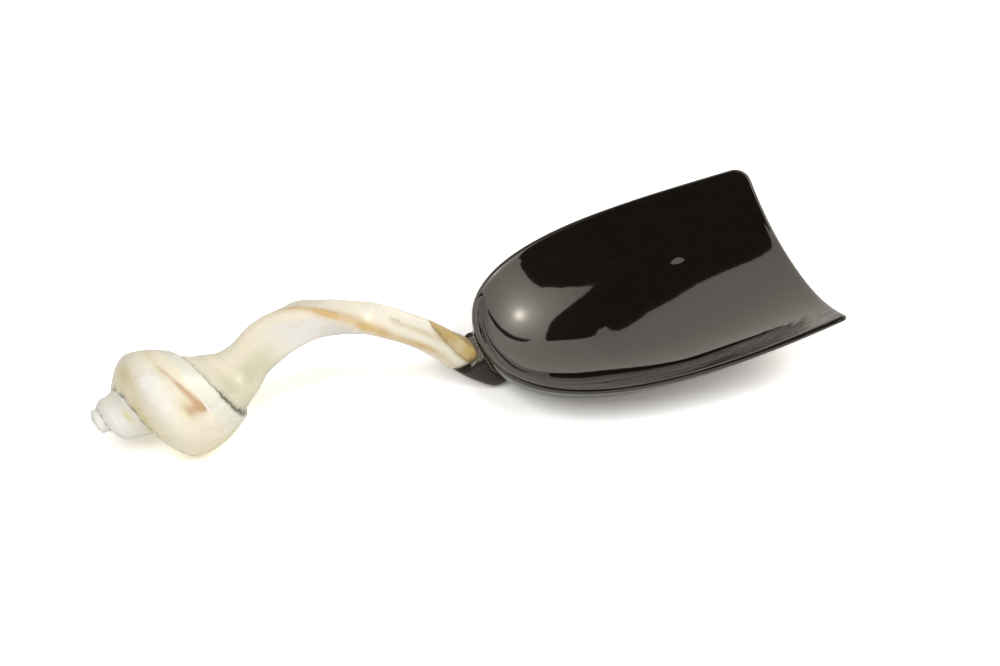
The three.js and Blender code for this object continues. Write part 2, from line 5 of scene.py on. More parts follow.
import bpy
import numpy as np
from bpy.props import FloatProperty, FloatVectorProperty, PointerProperty
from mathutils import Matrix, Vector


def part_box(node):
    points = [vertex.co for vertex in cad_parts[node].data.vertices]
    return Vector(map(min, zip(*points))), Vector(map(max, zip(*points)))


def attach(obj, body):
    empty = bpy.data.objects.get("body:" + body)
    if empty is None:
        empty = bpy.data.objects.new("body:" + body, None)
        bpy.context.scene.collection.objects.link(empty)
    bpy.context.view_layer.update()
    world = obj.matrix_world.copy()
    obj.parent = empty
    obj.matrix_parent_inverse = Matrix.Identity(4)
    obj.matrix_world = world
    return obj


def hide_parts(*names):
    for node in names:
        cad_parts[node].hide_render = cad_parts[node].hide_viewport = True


bl_info = {
    "name": "Horn rice spoon",
    "version": (1, 0, 0),
    "blender": (4, 5, 0),
    "location": "3D View > Sidebar > Rice Spoon",
    "description": "Models and finishes a rice spoon with a horn scoop and a shell handle",
    "category": "Object",
}

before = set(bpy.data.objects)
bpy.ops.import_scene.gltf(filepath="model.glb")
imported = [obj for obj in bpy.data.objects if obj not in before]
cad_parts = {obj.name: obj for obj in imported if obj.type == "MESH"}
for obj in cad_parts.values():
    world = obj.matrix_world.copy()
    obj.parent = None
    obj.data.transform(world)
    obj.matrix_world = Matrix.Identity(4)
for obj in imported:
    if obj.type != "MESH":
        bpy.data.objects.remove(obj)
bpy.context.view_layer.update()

MM = 0.001

# The scoop's form, in millimetres from its rear rim
SCOOP_LENGTH = 114.0
SCOOP_WIDTH = 97.0
SCOOP_DEPTH = 24.58
SHOULDER_LENGTH = 75.7
SHOULDER_SQUARENESS = 2.48
SIDE_TAPER = 0.05
TAPER_BEND = 1.5
REAR_RIM_HEIGHT = 17.63
RIM_RISE = 0.1153
RIM_UPSWEEP = 3.75
FLOOR_START = 68.3
FLOOR_TURN = 41.0
RISE_START = 47.0
RISE_ROUNDING = 1.6
LIP_DIP = 10.53
WALL_SQUARENESS = 2.23
BELLY_SQUARENESS = 0.55
BELLY_START, BELLY_FULL, BELLY_FADE = 45.0, 70.0, 85.0
REAR_ROUNDNESS = 2.2
FAR_CORNER = 6.0
NEAR_CORNER = 1.6
HUB_SHARE = 0.85
REAR_RIM_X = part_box("scoop_bowl")[1].x / MM - SCOOP_LENGTH  # where the scoop's own measures start

# The shell's coils, in millimetres along their axis from the tip of the spire. A least-squares fit to the
# photo's outline made the two tables and the sizes beside them. Three of the seam's radii were then changed.
SPIRE_TIP_X = -132.73
SPIRE_SIDE = 0.77
SPIRE_TILT = 9.05
SEAM_START_ANGLE = 51.0
# The seam between the coils, as (turns, distance along the axis, radius)
SEAM = (
    (-1, 0.5, 0.7), (-0.5, 1.4, 2.3), (0, 2.96, 3.5), (0.5, 5.56, 4.8), (1, 9.75, 7.67),
    (1.5, 19.4, 10.12), (2, 30.65, 14.13), (2.5, 48.84, 14.11), (3, 51, 6),
)
# The fullest radius of the coil that starts at a turn of the seam
FULLEST = (
    (-1, 3.6), (-0.5, 4.73), (0, 6.2), (0.5, 9.37), (1, 17.49), (1.5, 21.62), (1.7, 22.64), (2, 5.0),
)
FULLEST_AT = 0.393
SHOULDER_BEND = 0.815
BASE_BEND = 2.0

# The bar's stations: x, z, then ridge, underside and back as degrees from straight up towards the near
# side and how far each corner's centre stands out, and the corners' radius
BAR_STATIONS = (
    (-99.0, 17.4, -25, 1.5, 105, 1.5, 210, 1.5, 11.5),
    (-93.6, 18.8, -25, 1.8, 105, 1.8, 210, 1.8, 12.4),
    (-89.1, 21.2, -24, 2.8, 110, 2.8, 215, 2.8, 9.8),
    (-84.3, 24.4, -23, 4.0, 118, 3.8, 220, 3.8, 6.2),
    (-78.6, 30.2, -22, 5.0, 126, 4.9, 228, 4.8, 2.9),
    (-73.2, 35.5, -20, 5.7, 134, 5.5, 245, 5.1, 2.4),
    (-67.4, 39.2, -13, 5.7, 146, 5.7, 274, 5.9, 2.0),
    (-60.4, 41.4, 15, 5.2, 154, 5.6, 282, 6.9, 1.8),
    (-53.0, 41.2, 45, 4.9, 165, 5.0, 282, 6.0, 1.7),
    (-45.6, 39.8, 75, 4.7, 178, 5.0, 290, 4.9, 1.7),
    (-41.7, 38.0, 90, 4.5, 191, 4.8, 306, 4.6, 1.7),
    (-37.3, 36.5, 106, 4.4, 213, 4.6, 332, 4.4, 1.7),
    (-33.4, 35.3, 125, 4.3, 242, 4.4, 360, 4.3, 1.7),
    (-29.6, 33.6, 137, 4.3, 258, 4.3, 376, 4.3, 1.7),
    (-21.0, 28.3, 143, 4.3, 263, 4.3, 383, 4.3, 1.8),
    (-12.4, 21.2, 154, 4.3, 274, 4.3, 394, 4.3, 2.0),
    (-6.9, 16.0, 170, 4.5, 294, 4.2, 414, 4.3, 2.3),
)
ROOT_REACH = 0.97  # how near the bar's root comes to the seam, as a share of the seam's radius
ROOT_LENGTH = 6.0  # how far past the seam it dies out
ROOT_START, ROOT_FADE_IN = -14.0, 6.0  # where it starts inside the coils
ROOT_SIDE = ((-0.15, 0.27), (0.37, 0.12))  # turns round the axis where it starts and ends, each with its fade
FLAT_CROWN = 0.25
BAR_END_DOME = 5.4
BAR_END_BLUNTNESS = 0.8

# Fineness of the meshes
WRAPS = 3  # of the strip that makes the coils
COIL_STEPS = 96
COIL_ROWS = 24
BAR_RINGS = 144
BAR_END_RINGS = 12
CORNER_STEPS = 8
FACE_STEPS = 8
BAR_AROUND = 3 * (CORNER_STEPS + FACE_STEPS)
EDGE_POINTS = 128  # points round the scoop's rim
SIDE_SHARE, BEND_SHARE = 0.7, 0.12  # of those points along a side, and round a corner of the lip
BLANK_RINGS = 18
BLANK_HUB = 0.25  # the flat blank is a plain grid inside this radius
PRESS_SAMPLES = 321  # from the hub to the rim
SAMPLE_BUNCHING = 2.4  # more crowds the samples towards the rim
RIM_ALLOWANCE = 0.08
SHELL_VOXEL, HEEL_VOXEL, BEAD_VOXEL = 0.38 * MM, 0.3 * MM, 0.2 * MM
SHELL_SMOOTHING, BEAD_SMOOTHING = 4, 12

# A dent on the far side, as its place, how much longer than wide it is, and half its width
DENT_PLACE = (91.2 * MM, 25.6 * MM, 17.6 * MM)
DENT_SQUASH = 0.6
DENT_RADIUS = 4.6 * MM

# Round patches on the coils: layer, strength, share and its reach, turn and its reach. The milk patch at the
# fullest part of the body whorl is partly the shell's pearly white and partly a painted highlight.
PATCHES = (
    ("straw", 0.75, 0.17, 0.08, 1.13, 0.07), ("straw", 0.55, 0.56, 0.05, 1.12, 0.06),
    ("straw", 0.6, 0.56, 0.1, 1.29, 0.025), ("straw", 0.7, 0.72, 0.09, 0.29, 0.06),
    ("straw", 0.8, 0.93, 0.06, 0.42, 0.06), ("milk_and_highlight", 1.0, 0.36, 0.14, 1.22, 0.08),
    ("pink", 0.6, 0.07, 0.07, 1.16, 0.06), ("pink", 0.5, 0.38, 0.1, 1.09, 0.04),
    ("pink", 0.3, 0.75, 0.2, 1.38, 0.05),
)
# Along the bar, as stations and values: how far from the ridge the ochre streak runs, how strong it is, and
# where the golden end stops on the way round
STREAK_RUN = (
    (6, 7, 7.7, 8.7, 9.7, 10.6, 12.6, 13.8, 14.5),
    (-0.08, -0.08, -0.02, -0.05, -0.08, -0.11, -0.14, -0.15, -0.22),
)
STREAK_STRENGTH = ((5, 6.5, 7.3, 8, 11, 12.5, 14, 15.5), (0, 0.5, 0.75, 1, 1, 0.95, 0.85, 0.4))
GOLD_LINE = ((13.9, 14.1, 14.5, 14.84, 15.4, 16), (1.9, 2.08, 2.19, 2.28, 2.34, 2.28))
GOLD_START = 13.8

# The tent, in degrees: headings from straight behind the spoon, and heights. Its edges were picked in
# the photo's reflections, and a program turned each into a heading and a height.
# How high the cloth hangs, and where a second piece above it starts and ends
CLOTH_EDGES = (
    (-180, 30), (-120, 30), (-75, 42), (-26, 46), (-14.5, 46.2), (-13.1, 60.5), (-9.4, 63.3), (-4, 64.5),
    (3.5, 63.7), (12.4, 59.6), (21, 56.5), (28, 56), (37, 54.8), (44, 52.6), (49, 55.6), (58, 60.8),
    (73, 66.4), (84, 70.5), (94, 73.7), (108, 76.5, 57, 76.5), (123, 79.5, 57, 79.5), (124.4, 38, 57, 79.7),
    (129, 37, 65, 80.3), (138.4, 37, 72, 81), (154, 36, 81, 81.4), (156, 35), (180, 30),
)
# The underside and the top of a dark bent arm before the cloth on the right
ARM_EDGES = (
    (-180, 90, 0), (51, 90, 0), (52.5, 48, 50), (56, 43.5, 49), (62, 39.5, 45.5), (68, 34.5, 41.5),
    (74, 29, 37), (79, 20, 30), (82, 10, 24), (84, 10, 11), (85.5, 90, 0), (180, 90, 0),
)
NO_EDGES = (90, 0)  # a piece that starts at the top and ends at the floor shows nowhere
CLOTH_SOFTNESS, ARM_SOFTNESS = 0.003, 0.02
DARK_LEVEL = 0.04
PLAIN_SHARE = 0.42  # of the tent's light on what isn't a reflection
# The lamp behind the cloth on the right: its way, and its glows from the hot middle outwards
LAMP_WAY = (0.642, -0.022, 0.766)
LAMP_GLOWS = ((420.0, 7.0), (60.0, 1.9), (10.0, 1.2))
# Soft boxes that only light, as name, heading, height, distance, size and power
SOFT_BOXES = (("left_soft_box", -140, 53, 1.1, 0.5, 5.6), ("right_soft_box", 138, 51, 1.1, 0.5, 4.4))
PAPER_GAIN = 1.8
PAPER_HAZE = 0.07

CAMERA_PLACE = (-0.20895, -0.7013, 0.6091)
CAMERA_DIP = 38.643
CAMERA_HEADING = 17.834
CAMERA_LENS = 100.8


def linear(code):
    """A linear colour from an sRGB hex code."""
    parts = [int(code[i:i + 2], 16) / 255 for i in (0, 2, 4)]
    return tuple(p / 12.92 if p <= 0.04045 else ((p + 0.055) / 1.055) ** 2.4 for p in parts) + (1.0,)


# Settings


class ScoopSettings(bpy.types.PropertyGroup):
    """Sizes and colour of the horn scoop."""

    thickness: FloatProperty(
        name="Horn thickness", description="Thickness of the pressed horn plate",
        default=2.2 * MM, min=1.0 * MM, max=4.0 * MM, unit="LENGTH", subtype="DISTANCE",
    )
    rim_round: FloatProperty(
        name="Rim rounding", description="Radius rubbed on to both edges of the rim",
        default=0.85 * MM, min=0.2 * MM, max=1.05 * MM, unit="LENGTH", subtype="DISTANCE",
    )
    colour: FloatVectorProperty(
        name="Horn colour", description="Colour of the polished horn under its gloss",
        size=4, subtype="COLOR", min=0.0, max=1.0, default=linear("0f0c09"),
    )


class HeelSettings(bpy.types.PropertyGroup):
    """Colour and softness of the heel that carries the handle."""

    softening: FloatProperty(
        name="Edge softening", description="How far the file has softened the heel's edges",
        default=0.7 * MM, min=0.1 * MM, max=2.0 * MM, unit="LENGTH", subtype="DISTANCE",
    )
    colour: FloatVectorProperty(
        name="Heel colour", description="Colour of the filed horn",
        size=4, subtype="COLOR", min=0.0, max=1.0, default=linear("1d1916"),
    )


class ShellSettings(bpy.types.PropertyGroup):
    """Colours and seam of the shell handle."""

    seam_depth: FloatProperty(
        name="Seam depth", description="Depth of the dark seam between the coils and the neck",
        default=0.5 * MM, min=0.0, max=1.5 * MM, unit="LENGTH", subtype="DISTANCE",
    )
    cream: FloatVectorProperty(
        name="Cream", description="Main colour of the shell",
        size=4, subtype="COLOR", min=0.0, max=1.0, default=linear("f2ebd6"),
    )
    ochre: FloatVectorProperty(
        name="Ochre", description="Colour of the yellow layer along the bar",
        size=4, subtype="COLOR", min=0.0, max=1.0, default=linear("d2b47a"),
    )
    seam: FloatVectorProperty(
        name="Seam", description="Colour of the dark green seam",
        size=4, subtype="COLOR", min=0.0, max=1.0, default=linear("4c5a46"),
    )


class StageSettings(bpy.types.PropertyGroup):
    """Light and paper of the stage."""

    light: FloatProperty(
        name="Light level", description="Brightness of the white cloth round the stage",
        default=1.0, min=0.1, max=3.0, subtype="FACTOR",
    )
    paper: FloatVectorProperty(
        name="Paper colour", description="Colour of the paper that the spoon lies on",
        size=4, subtype="COLOR", min=0.0, max=1.0, default=linear("f6f5f3"),
    )


class SpoonSettings(bpy.types.PropertyGroup):
    """All settings of the spoon."""

    scoop: PointerProperty(type=ScoopSettings)
    heel: PointerProperty(type=HeelSettings)
    shell: PointerProperty(type=ShellSettings)
    stage: PointerProperty(type=StageSettings)


# Nodes


def add(tree, kind, inputs=None, stops=(), **settings):
    """A shader node with its settings, its values and links, and the stops of a colour ramp."""
    made = tree.nodes.new("ShaderNode" + kind)
    for name, value in settings.items():
        setattr(made, name, value)
    for key, value in (inputs or {}).items():
        if isinstance(value, bpy.types.Node):
            value = value.outputs[0]
        if isinstance(value, bpy.types.NodeSocket):
            tree.links.new(value, made.inputs[key])
        else:
            made.inputs[key].default_value = value
    if stops:
        elements = made.color_ramp.elements
        elements.remove(elements[1])
        elements[0].position, elements[0].color = stops[0]
        for position, colour in stops[1:]:
            elements.new(position).color = colour
    return made


def new_material(name):
    """An empty node material and its tree."""
    material = bpy.data.materials.new(name)
    material.use_nodes = True
    material.node_tree.nodes.clear()
    return material, material.node_tree


def finish_material(tree, shader):
    add(tree, "OutputMaterial", {"Surface": shader.outputs["BSDF"]})


# Materials


def polished_black_horn(colour):
    """Black buffalo horn, pressed hot and buffed: nearly black, with a deep gloss that mirrors the room."""
    material, tree = new_material("polished_black_buffalo_horn")
    place = add(tree, "TexCoord").outputs["Object"]
    # Horn grows in fibres along the plate: streaks 2 mm apart and about 40 mm long
    grain = add(tree, "Mapping", {"Vector": place, "Scale": (25.0, 480.0, 480.0)})
    streaks = add(tree, "TexNoise", {"Vector": grain, "Scale": 1.0, "Detail": 4.0})
    # The deepest streaks are a little browner, which shows only where no light is mirrored
    brown = add(tree, "ValToRGB", {"Fac": streaks.outputs["Fac"]}, stops=(
        (0.5, colour), (0.85, linear("1a140f")),
    ))
    # Buffing leaves slow waves some 22 mm apart and ripples of 3 mm, which bend what the gloss mirrors
    waves = add(tree, "TexNoise", {"Vector": place, "Scale": 45.0, "Detail": 1.0})
    wavy = add(tree, "Bump", {
        "Height": waves.outputs["Fac"], "Distance": 0.05 * MM,
    })
    ripples = add(tree, "TexNoise", {"Vector": place, "Scale": 330.0, "Detail": 2.0})
    rippled = add(tree, "Bump", {
        "Height": ripples.outputs["Fac"], "Distance": 0.006 * MM, "Normal": wavy,
    })
    # The scraper's marks, a millimetre apart along the near rim, break up what it mirrors into dark lines
    rim = add(tree, "Attribute", attribute_name="rim_marks").outputs["Vector"]
    drop_run = add(tree, "Mapping", {"Vector": rim, "Scale": (1.0, 0.012, 0.0)})
    scrapes = add(tree, "TexNoise", {"Vector": drop_run, "Scale": 1.0, "Detail": 2.0})
    scraped = add(tree, "Bump", {
        "Height": scrapes.outputs["Fac"],
        "Strength": add(tree, "SeparateXYZ", {"Vector": rim}).outputs["Z"],
        "Distance": 0.45 * MM, "Normal": rippled,
    })
    # A shallow dent on the far side, 15 mm long and 9 mm wide, which catches the light as a small oval
    dent_x, dent_y, dent_z = DENT_PLACE
    from_dent = add(tree, "Mapping", {
        "Vector": place, "Scale": (DENT_SQUASH, 1.0, 1.0),
        "Location": (-DENT_SQUASH * dent_x, -dent_y, -dent_z),
    })
    away = add(tree, "VectorMath", {0: from_dent}, operation="LENGTH")
    dent = add(tree, "MapRange", {
        "Value": away.outputs["Value"], "From Max": DENT_RADIUS,
    }, interpolation_type="SMOOTHSTEP")
    dented = add(tree, "Bump", {
        "Height": dent, "Distance": 0.54 * MM, "Normal": scraped,
    })
    shader = add(tree, "BsdfPrincipled", {
        "Base Color": brown.outputs["Color"], "Roughness": 0.06, "IOR": 1.55,
        "Coat Weight": 0.8, "Coat Roughness": 0.01, "Coat IOR": 1.5,
        "Normal": dented, "Coat Normal": dented,
    })
    finish_material(tree, shader)
    return material


def filed_brown_horn(colour):
    """Brown-black horn, filed and rubbed: a satin skin with fine file marks that spread the light."""
    material, tree = new_material("filed_brown_black_horn")
    place = add(tree, "TexCoord").outputs["Object"]
    # Blotches 3 mm across
    blotch = add(tree, "TexNoise", {"Vector": place, "Scale": 300.0, "Detail": 3.0})
    tone = add(tree, "ValToRGB", {"Fac": blotch.outputs["Fac"]}, stops=(
        (0.3, colour), (0.8, linear("332b26")),
    ))
    # The file ran across the spoon: marks 8 mm long and 0.4 mm apart
    marks = add(tree, "Mapping", {"Vector": place, "Scale": (900.0, 120.0, 2600.0)})
    file_marks = add(tree, "TexNoise", {"Vector": marks, "Scale": 1.0, "Detail": 2.0})
    bump = add(tree, "Bump", {
        "Height": file_marks.outputs["Fac"], "Strength": 0.5, "Distance": 0.05 * MM,
    })
    shader = add(tree, "BsdfPrincipled", {
        "Base Color": tone.outputs["Color"], "Roughness": 0.42, "IOR": 1.45, "Normal": bump,
    })
    finish_material(tree, shader)
    return material


def ground_sea_shell(settings):
    """Turban shell, ground back and polished: soft cream, with layers of straw, tan and ochre laid bare."""
    material, tree = new_material("ground_polished_turban_shell")
    place = add(tree, "TexCoord").outputs["Object"]
    # Patches some 8 mm across, where the grinding went a little deeper
    depth = add(tree, "TexNoise", {"Vector": place, "Scale": 130.0, "Detail": 1.0})
    uneven = add(tree, "MapRange", {
        "Value": depth.outputs["Fac"], "From Min": 0.3, "From Max": 0.7, "To Min": 0.65, "To Max": 1.2,
    })
    colour = settings.cream
    for name, tones in (
        ("seam_shade_rim_spire", (None, "e9ebdf", "f1f2ee")),
        # The beige tone is partly painted shade on the bar's underside near the neck.
        ("pink_beige_shade_cool", ("eee3d2", "cfcdb3", "e6e3dd")),
        # The milk tone is partly a painted highlight on the body whorl.
        ("straw_tan_milk_highlight", ("dfd5a0", "c6a37c", "fdfbf8")),
        ("ochre_gold_edge", (settings.ochre, "bfa565", "8d7a4e")),
        ("growth", (None, None, "56554a")),
        # The seam colour also paints a shade onto the neck just past the seam.
        ("seam_shade_rim_spire", (settings.seam, None, None)),
    ):
        layer = add(tree, "SeparateXYZ", {
            "Vector": add(tree, "Attribute", attribute_name=name).outputs["Vector"],
        })
        for axis, tone in zip("XYZ", tones):
            if tone is None:
                continue
            share = add(tree, "Math", {
                0: layer.outputs[axis], 1: uneven,
            }, operation="MULTIPLY", use_clamp=True)
            colour = add(tree, "Mix", {
                "Factor": share, 6: colour, 7: linear(tone) if isinstance(tone, str) else tone,
            }, data_type="RGBA").outputs[2]
    # Growth lines across the coils, some 4 mm apart with finer ones between, and closer ones across the bar
    grown = add(tree, "Attribute", attribute_name="growth").outputs["Vector"]
    growth = add(tree, "Mapping", {"Vector": grown, "Scale": (34.0, 5.0, 0.0)})
    lines = add(tree, "TexNoise", {"Vector": growth, "Scale": 1.0, "Detail": 3.0})
    faint = add(tree, "MapRange", {
        "Value": lines.outputs["Fac"], "From Min": 0.3, "From Max": 0.7, "To Min": 0.955, "To Max": 1.02,
    })
    ground = add(tree, "VectorMath", {0: colour, "Scale": faint}, operation="SCALE")
    # Where the grinding went deeper the polish is duller
    polish = add(tree, "MapRange", {
        "Value": depth.outputs["Fac"], "From Min": 0.3, "From Max": 0.7, "To Min": 0.2, "To Max": 0.34,
    })
    bump = add(tree, "Bump", {"Height": lines.outputs["Fac"], "Strength": 0.3, "Distance": 0.03 * MM})
    shader = add(tree, "BsdfPrincipled", {
        "Base Color": ground, "Roughness": polish, "IOR": 1.6,
        "Subsurface Weight": 0.15, "Subsurface Radius": (1.0 * MM, 0.8 * MM, 0.6 * MM),
        "Subsurface Scale": 1.0,
        "Coat Weight": 0.25, "Coat Roughness": 0.08, "Normal": bump,
    })
    finish_material(tree, shader)
    return material


def set_clear_glue():
    """Clear two-part glue, run in and set: glassy, with small trapped bubbles."""
    material, tree = new_material("clear_set_glue")
    place = add(tree, "TexCoord").outputs["Object"]
    # Bubbles a millimetre apart dimple the skin
    bubbles = add(tree, "TexVoronoi", {"Vector": place, "Scale": 900.0})
    bump = add(tree, "Bump", {
        "Height": bubbles.outputs["Distance"], "Strength": 0.6, "Distance": 0.1 * MM,
    })
    shader = add(tree, "BsdfPrincipled", {
        "Base Color": linear("e9e4d2"), "Roughness": 0.05, "IOR": 1.5, "Transmission Weight": 0.85,
        "Normal": bump,
    })
    finish_material(tree, shader)
    return material


def drawn_steel_wire():
    """Steel wire, drawn through a die: fine lines along the pin."""
    material, tree = new_material("drawn_steel_wire")
    place = add(tree, "TexCoord").outputs["Object"]
    # Lines a quarter of a millimetre apart, along the pin's slope
    lines = add(tree, "Mapping", {
        "Vector": place, "Rotation": (0.0, math.radians(-52.0), 0.0), "Scale": (120.0, 4000.0, 4000.0),
    })
    draw = add(tree, "TexNoise", {"Vector": lines, "Scale": 1.0, "Detail": 2.0})
    tone = add(tree, "ValToRGB", {"Fac": draw.outputs["Fac"]}, stops=(
        (0.3, linear("8f8f8d")), (0.7, linear("b4b4b1")),
    ))
    shader = add(tree, "BsdfPrincipled", {
        "Base Color": tone.outputs["Color"], "Metallic": 1.0, "Roughness": 0.32,
    })
    finish_material(tree, shader)
    return material


def white_paper(colour):
    """Matt white paper: bright to the camera, and still dark where the spoon shades it."""
    material, tree = new_material("matt_white_paper")
    place = add(tree, "TexCoord").outputs["Object"]
    tooth = add(tree, "TexNoise", {"Vector": place, "Scale": 1200.0, "Detail": 2.0})
    bump = add(tree, "Bump", {
        "Height": tooth.outputs["Fac"], "Strength": 0.2, "Distance": 0.02 * MM,
    })
    seen = add(tree, "LightPath").outputs["Is Camera Ray"]
    # Exposed for the spoon, the paper burns out to white except where the spoon shades it
    exposed = add(tree, "Mix", {
        "Factor": seen, 6: colour, 7: (PAPER_GAIN,) * 3 + (1.0,),
    }, data_type="RGBA")
    paper = add(tree, "BsdfDiffuse", {"Color": exposed.outputs[2], "Normal": bump})
    haze = add(tree, "Math", {0: seen, 1: PAPER_HAZE}, operation="MULTIPLY")
    lifted = add(tree, "Emission", {"Color": (1.0, 1.0, 1.0, 1.0), "Strength": haze})
    both = add(tree, "AddShader", {0: paper, 1: lifted})
    add(tree, "OutputMaterial", {"Surface": both})
    return material


# Modelling helpers


def start_alone():
    """Nothing selected, so that an operator works only on what comes next."""
    if bpy.context.object and bpy.context.object.mode != "OBJECT":
        bpy.ops.object.mode_set(mode="OBJECT")
    bpy.ops.object.select_all(action="DESELECT")


def pick(piece):
    """Only this piece selected and active."""
    start_alone()
    piece.select_set(True)
    bpy.context.view_layer.objects.active = piece


def apply_modifier(piece, kind, **settings):
    """Adds a modifier with its settings and applies it."""
    pick(piece)
    modifier = piece.modifiers.new(kind.lower(), kind)
    for name, value in settings.items():
        setattr(modifier, name, value)
    bpy.ops.object.modifier_apply(modifier=modifier.name)


def points_of(piece):
    """The piece's vertices, one row each."""
    flat = np.empty(len(piece.data.vertices) * 3)
    piece.data.vertices.foreach_get("co", flat)
    return flat.reshape(-1, 3)


def move_points(piece, points):
    piece.data.vertices.foreach_set("co", np.asarray(points).ravel())
    piece.data.update()


def copy_of_node(node, name):
    """A copy of a CAD solid as a new piece, its loose triangles merged."""
    start_alone()
    piece = bpy.data.objects.new(name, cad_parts[node].data.copy())
    bpy.context.scene.collection.objects.link(piece)
    piece.data.materials.clear()
    pick(piece)
    bpy.ops.mesh.customdata_custom_splitnormals_clear()
    bpy.ops.object.mode_set(mode="EDIT")
    bpy.ops.mesh.select_all(action="SELECT")
    bpy.ops.mesh.remove_doubles(threshold=0.001 * MM)
    bpy.ops.object.mode_set(mode="OBJECT")
    return piece


def hand_over(piece, material, slot, *nodes):
    """Gives a piece its finish and its place in the frame."""
    pick(piece)
    bpy.ops.object.shade_smooth()
    piece.data.materials.clear()
    piece.data.materials.append(material)
    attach(piece, "root")
    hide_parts(*nodes)


# Scoop form


def smooth(value):
    t = np.clip(value, 0, 1)
    return t * t * (3 - 2 * t)


def half_width(x):
    t = np.clip(1 - x / SHOULDER_LENGTH, 0, 1)
    round_ = (1 - t ** SHOULDER_SQUARENESS) ** (1 / SHOULDER_SQUARENESS)
    along = np.clip((x - SHOULDER_LENGTH) / (SCOOP_LENGTH - SHOULDER_LENGTH), 0, 1)
    return SCOOP_WIDTH / 2 * round_ * (1 - SIDE_TAPER * along ** TAPER_BEND)


def rim_height(x):
    return REAR_RIM_HEIGHT + RIM_RISE * x + RIM_UPSWEEP * (x / SCOOP_LENGTH) ** 2


def hollow_depth(x):
    """Depth of the middle below the rim: a rounded rear end, then a floor that rises evenly to the lip."""
    rear = np.minimum(x, FLOOR_TURN)
    t = np.clip(1 - rear / FLOOR_START, 0, 1)
    round_end = rim_height(rear) - SCOOP_DEPTH * (1 - t ** REAR_ROUNDNESS) ** (1 / REAR_ROUNDNESS)
    lip_height = rim_height(SCOOP_LENGTH) - LIP_DIP
    rise = lip_height * (x - RISE_START) / (SCOOP_LENGTH - RISE_START)
    floor = (round_end + rise + np.hypot(round_end - rise, RISE_ROUNDING)) / 2
    return np.maximum(rim_height(x) - floor, 0)


def wall_squareness(x):
    """How square a cross section's walls are."""
    steep = smooth((x - BELLY_START) / (BELLY_FULL - BELLY_START))
    fade = smooth((x - BELLY_FADE) / (SCOOP_LENGTH - BELLY_FADE))
    return WALL_SQUARENESS + BELLY_SQUARENESS * steep * (1 - fade)


def outer_height(x, y):
    half = np.maximum(half_width(x), 1e-6)
    across = np.minimum(np.abs(y) / half, 1)
    return rim_height(x) - hollow_depth(x) * (1 - across ** wall_squareness(x))


def outline_side(corner, points):
    """One side of the outline in plan, from the rear middle round the lip's corner to the lip's middle."""
    side_points = int(points * SIDE_SHARE)
    corner_points = int(points * BEND_SHARE)
    lip_points = points - side_points - corner_points
    straight_end = SCOOP_LENGTH - corner
    turn = np.linspace(0, math.pi / 2, side_points + 1)
    x = straight_end * (1 - np.cos(turn))
    side = np.stack([x, half_width(x)], 1)
    corner_y = half_width(straight_end) - corner
    turn = np.linspace(0, math.pi / 2, corner_points + 1)[1:]
    bend = np.stack([straight_end + corner * np.sin(turn), corner_y + corner * np.cos(turn)], 1)
    y = corner_y * (1 - np.arange(1, lip_points + 1) / lip_points)
    lip = np.stack([np.full(lip_points, SCOOP_LENGTH), y], 1)
    return np.concatenate([side, bend, lip])


def scoop_outline():
    """The outline as a closed loop from the rear middle, along the near side first."""
    near = outline_side(NEAR_CORNER, EDGE_POINTS // 2) * (1, -1)
    far = outline_side(FAR_CORNER, EDGE_POINTS // 2)[1:-1][::-1]
    return np.concatenate([near, far])


def pressed(points):
    """Where the mould sends the points of a flat round blank of radius 1."""
    outline = scoop_outline()
    loop = np.concatenate([outline, outline[:1]])
    reach = np.hypot(points[:, 0], points[:, 1])
    turn = (np.arctan2(points[:, 1], points[:, 0]) - math.pi) / (2 * math.pi) % 1.0
    position = turn * EDGE_POINTS
    edge_x = np.interp(position, np.arange(EDGE_POINTS + 1), loop[:, 0])
    edge_y = np.interp(position, np.arange(EDGE_POINTS + 1), loop[:, 1])
    hub_x = FLOOR_START * HUB_SHARE
    share = 1 - (1 - np.linspace(0, 1, PRESS_SAMPLES)) ** SAMPLE_BUNCHING
    x = hub_x + (edge_x - hub_x)[:, None] * share
    y = edge_y[:, None] * share
    z = outer_height(x, y)
    steps = np.sqrt(np.diff(x) ** 2 + np.diff(y) ** 2 + np.diff(z) ** 2)
    lengths = np.concatenate([np.zeros((len(points), 1)), np.cumsum(steps, 1)], 1)
    target = reach * (lengths[:, -1] + RIM_ALLOWANCE)
    made = []
    for i, distance in enumerate(target):
        made.append([np.interp(distance, lengths[i], line[i]) for line in (x, y, z)])
    return (np.array(made) + (REAR_RIM_X, 0, 0)) * MM


# Shell form


def between(table, column, position):
    """A smooth curve through one column of a table, read at positions in its first column."""
    keys = np.array([row[0] for row in table], float)
    values = np.array([row[column] for row in table], float)
    slopes = np.empty(len(keys))
    for i in range(len(keys)):
        low, high = max(i - 1, 0), min(i + 1, len(keys) - 1)
        slopes[i] = (values[high] - values[low]) / (keys[high] - keys[low])
    i = np.clip(np.searchsorted(keys, position, side="right") - 1, 0, len(keys) - 2)
    span = keys[i + 1] - keys[i]
    t = np.clip((position - keys[i]) / span, 0, 1)
    h = t * t * (3 - 2 * t)
    return (values[i] + (values[i + 1] - values[i]) * h
            + span * (slopes[i] * t * (1 - t) ** 2 - slopes[i + 1] * t * t * (1 - t)))


def spire_axes():
    """The coils' own axis, and up from it."""
    tilt = math.radians(SPIRE_TILT)
    return np.array([math.cos(tilt), 0, math.sin(tilt)]), np.array([-math.sin(tilt), 0, math.cos(tilt)])


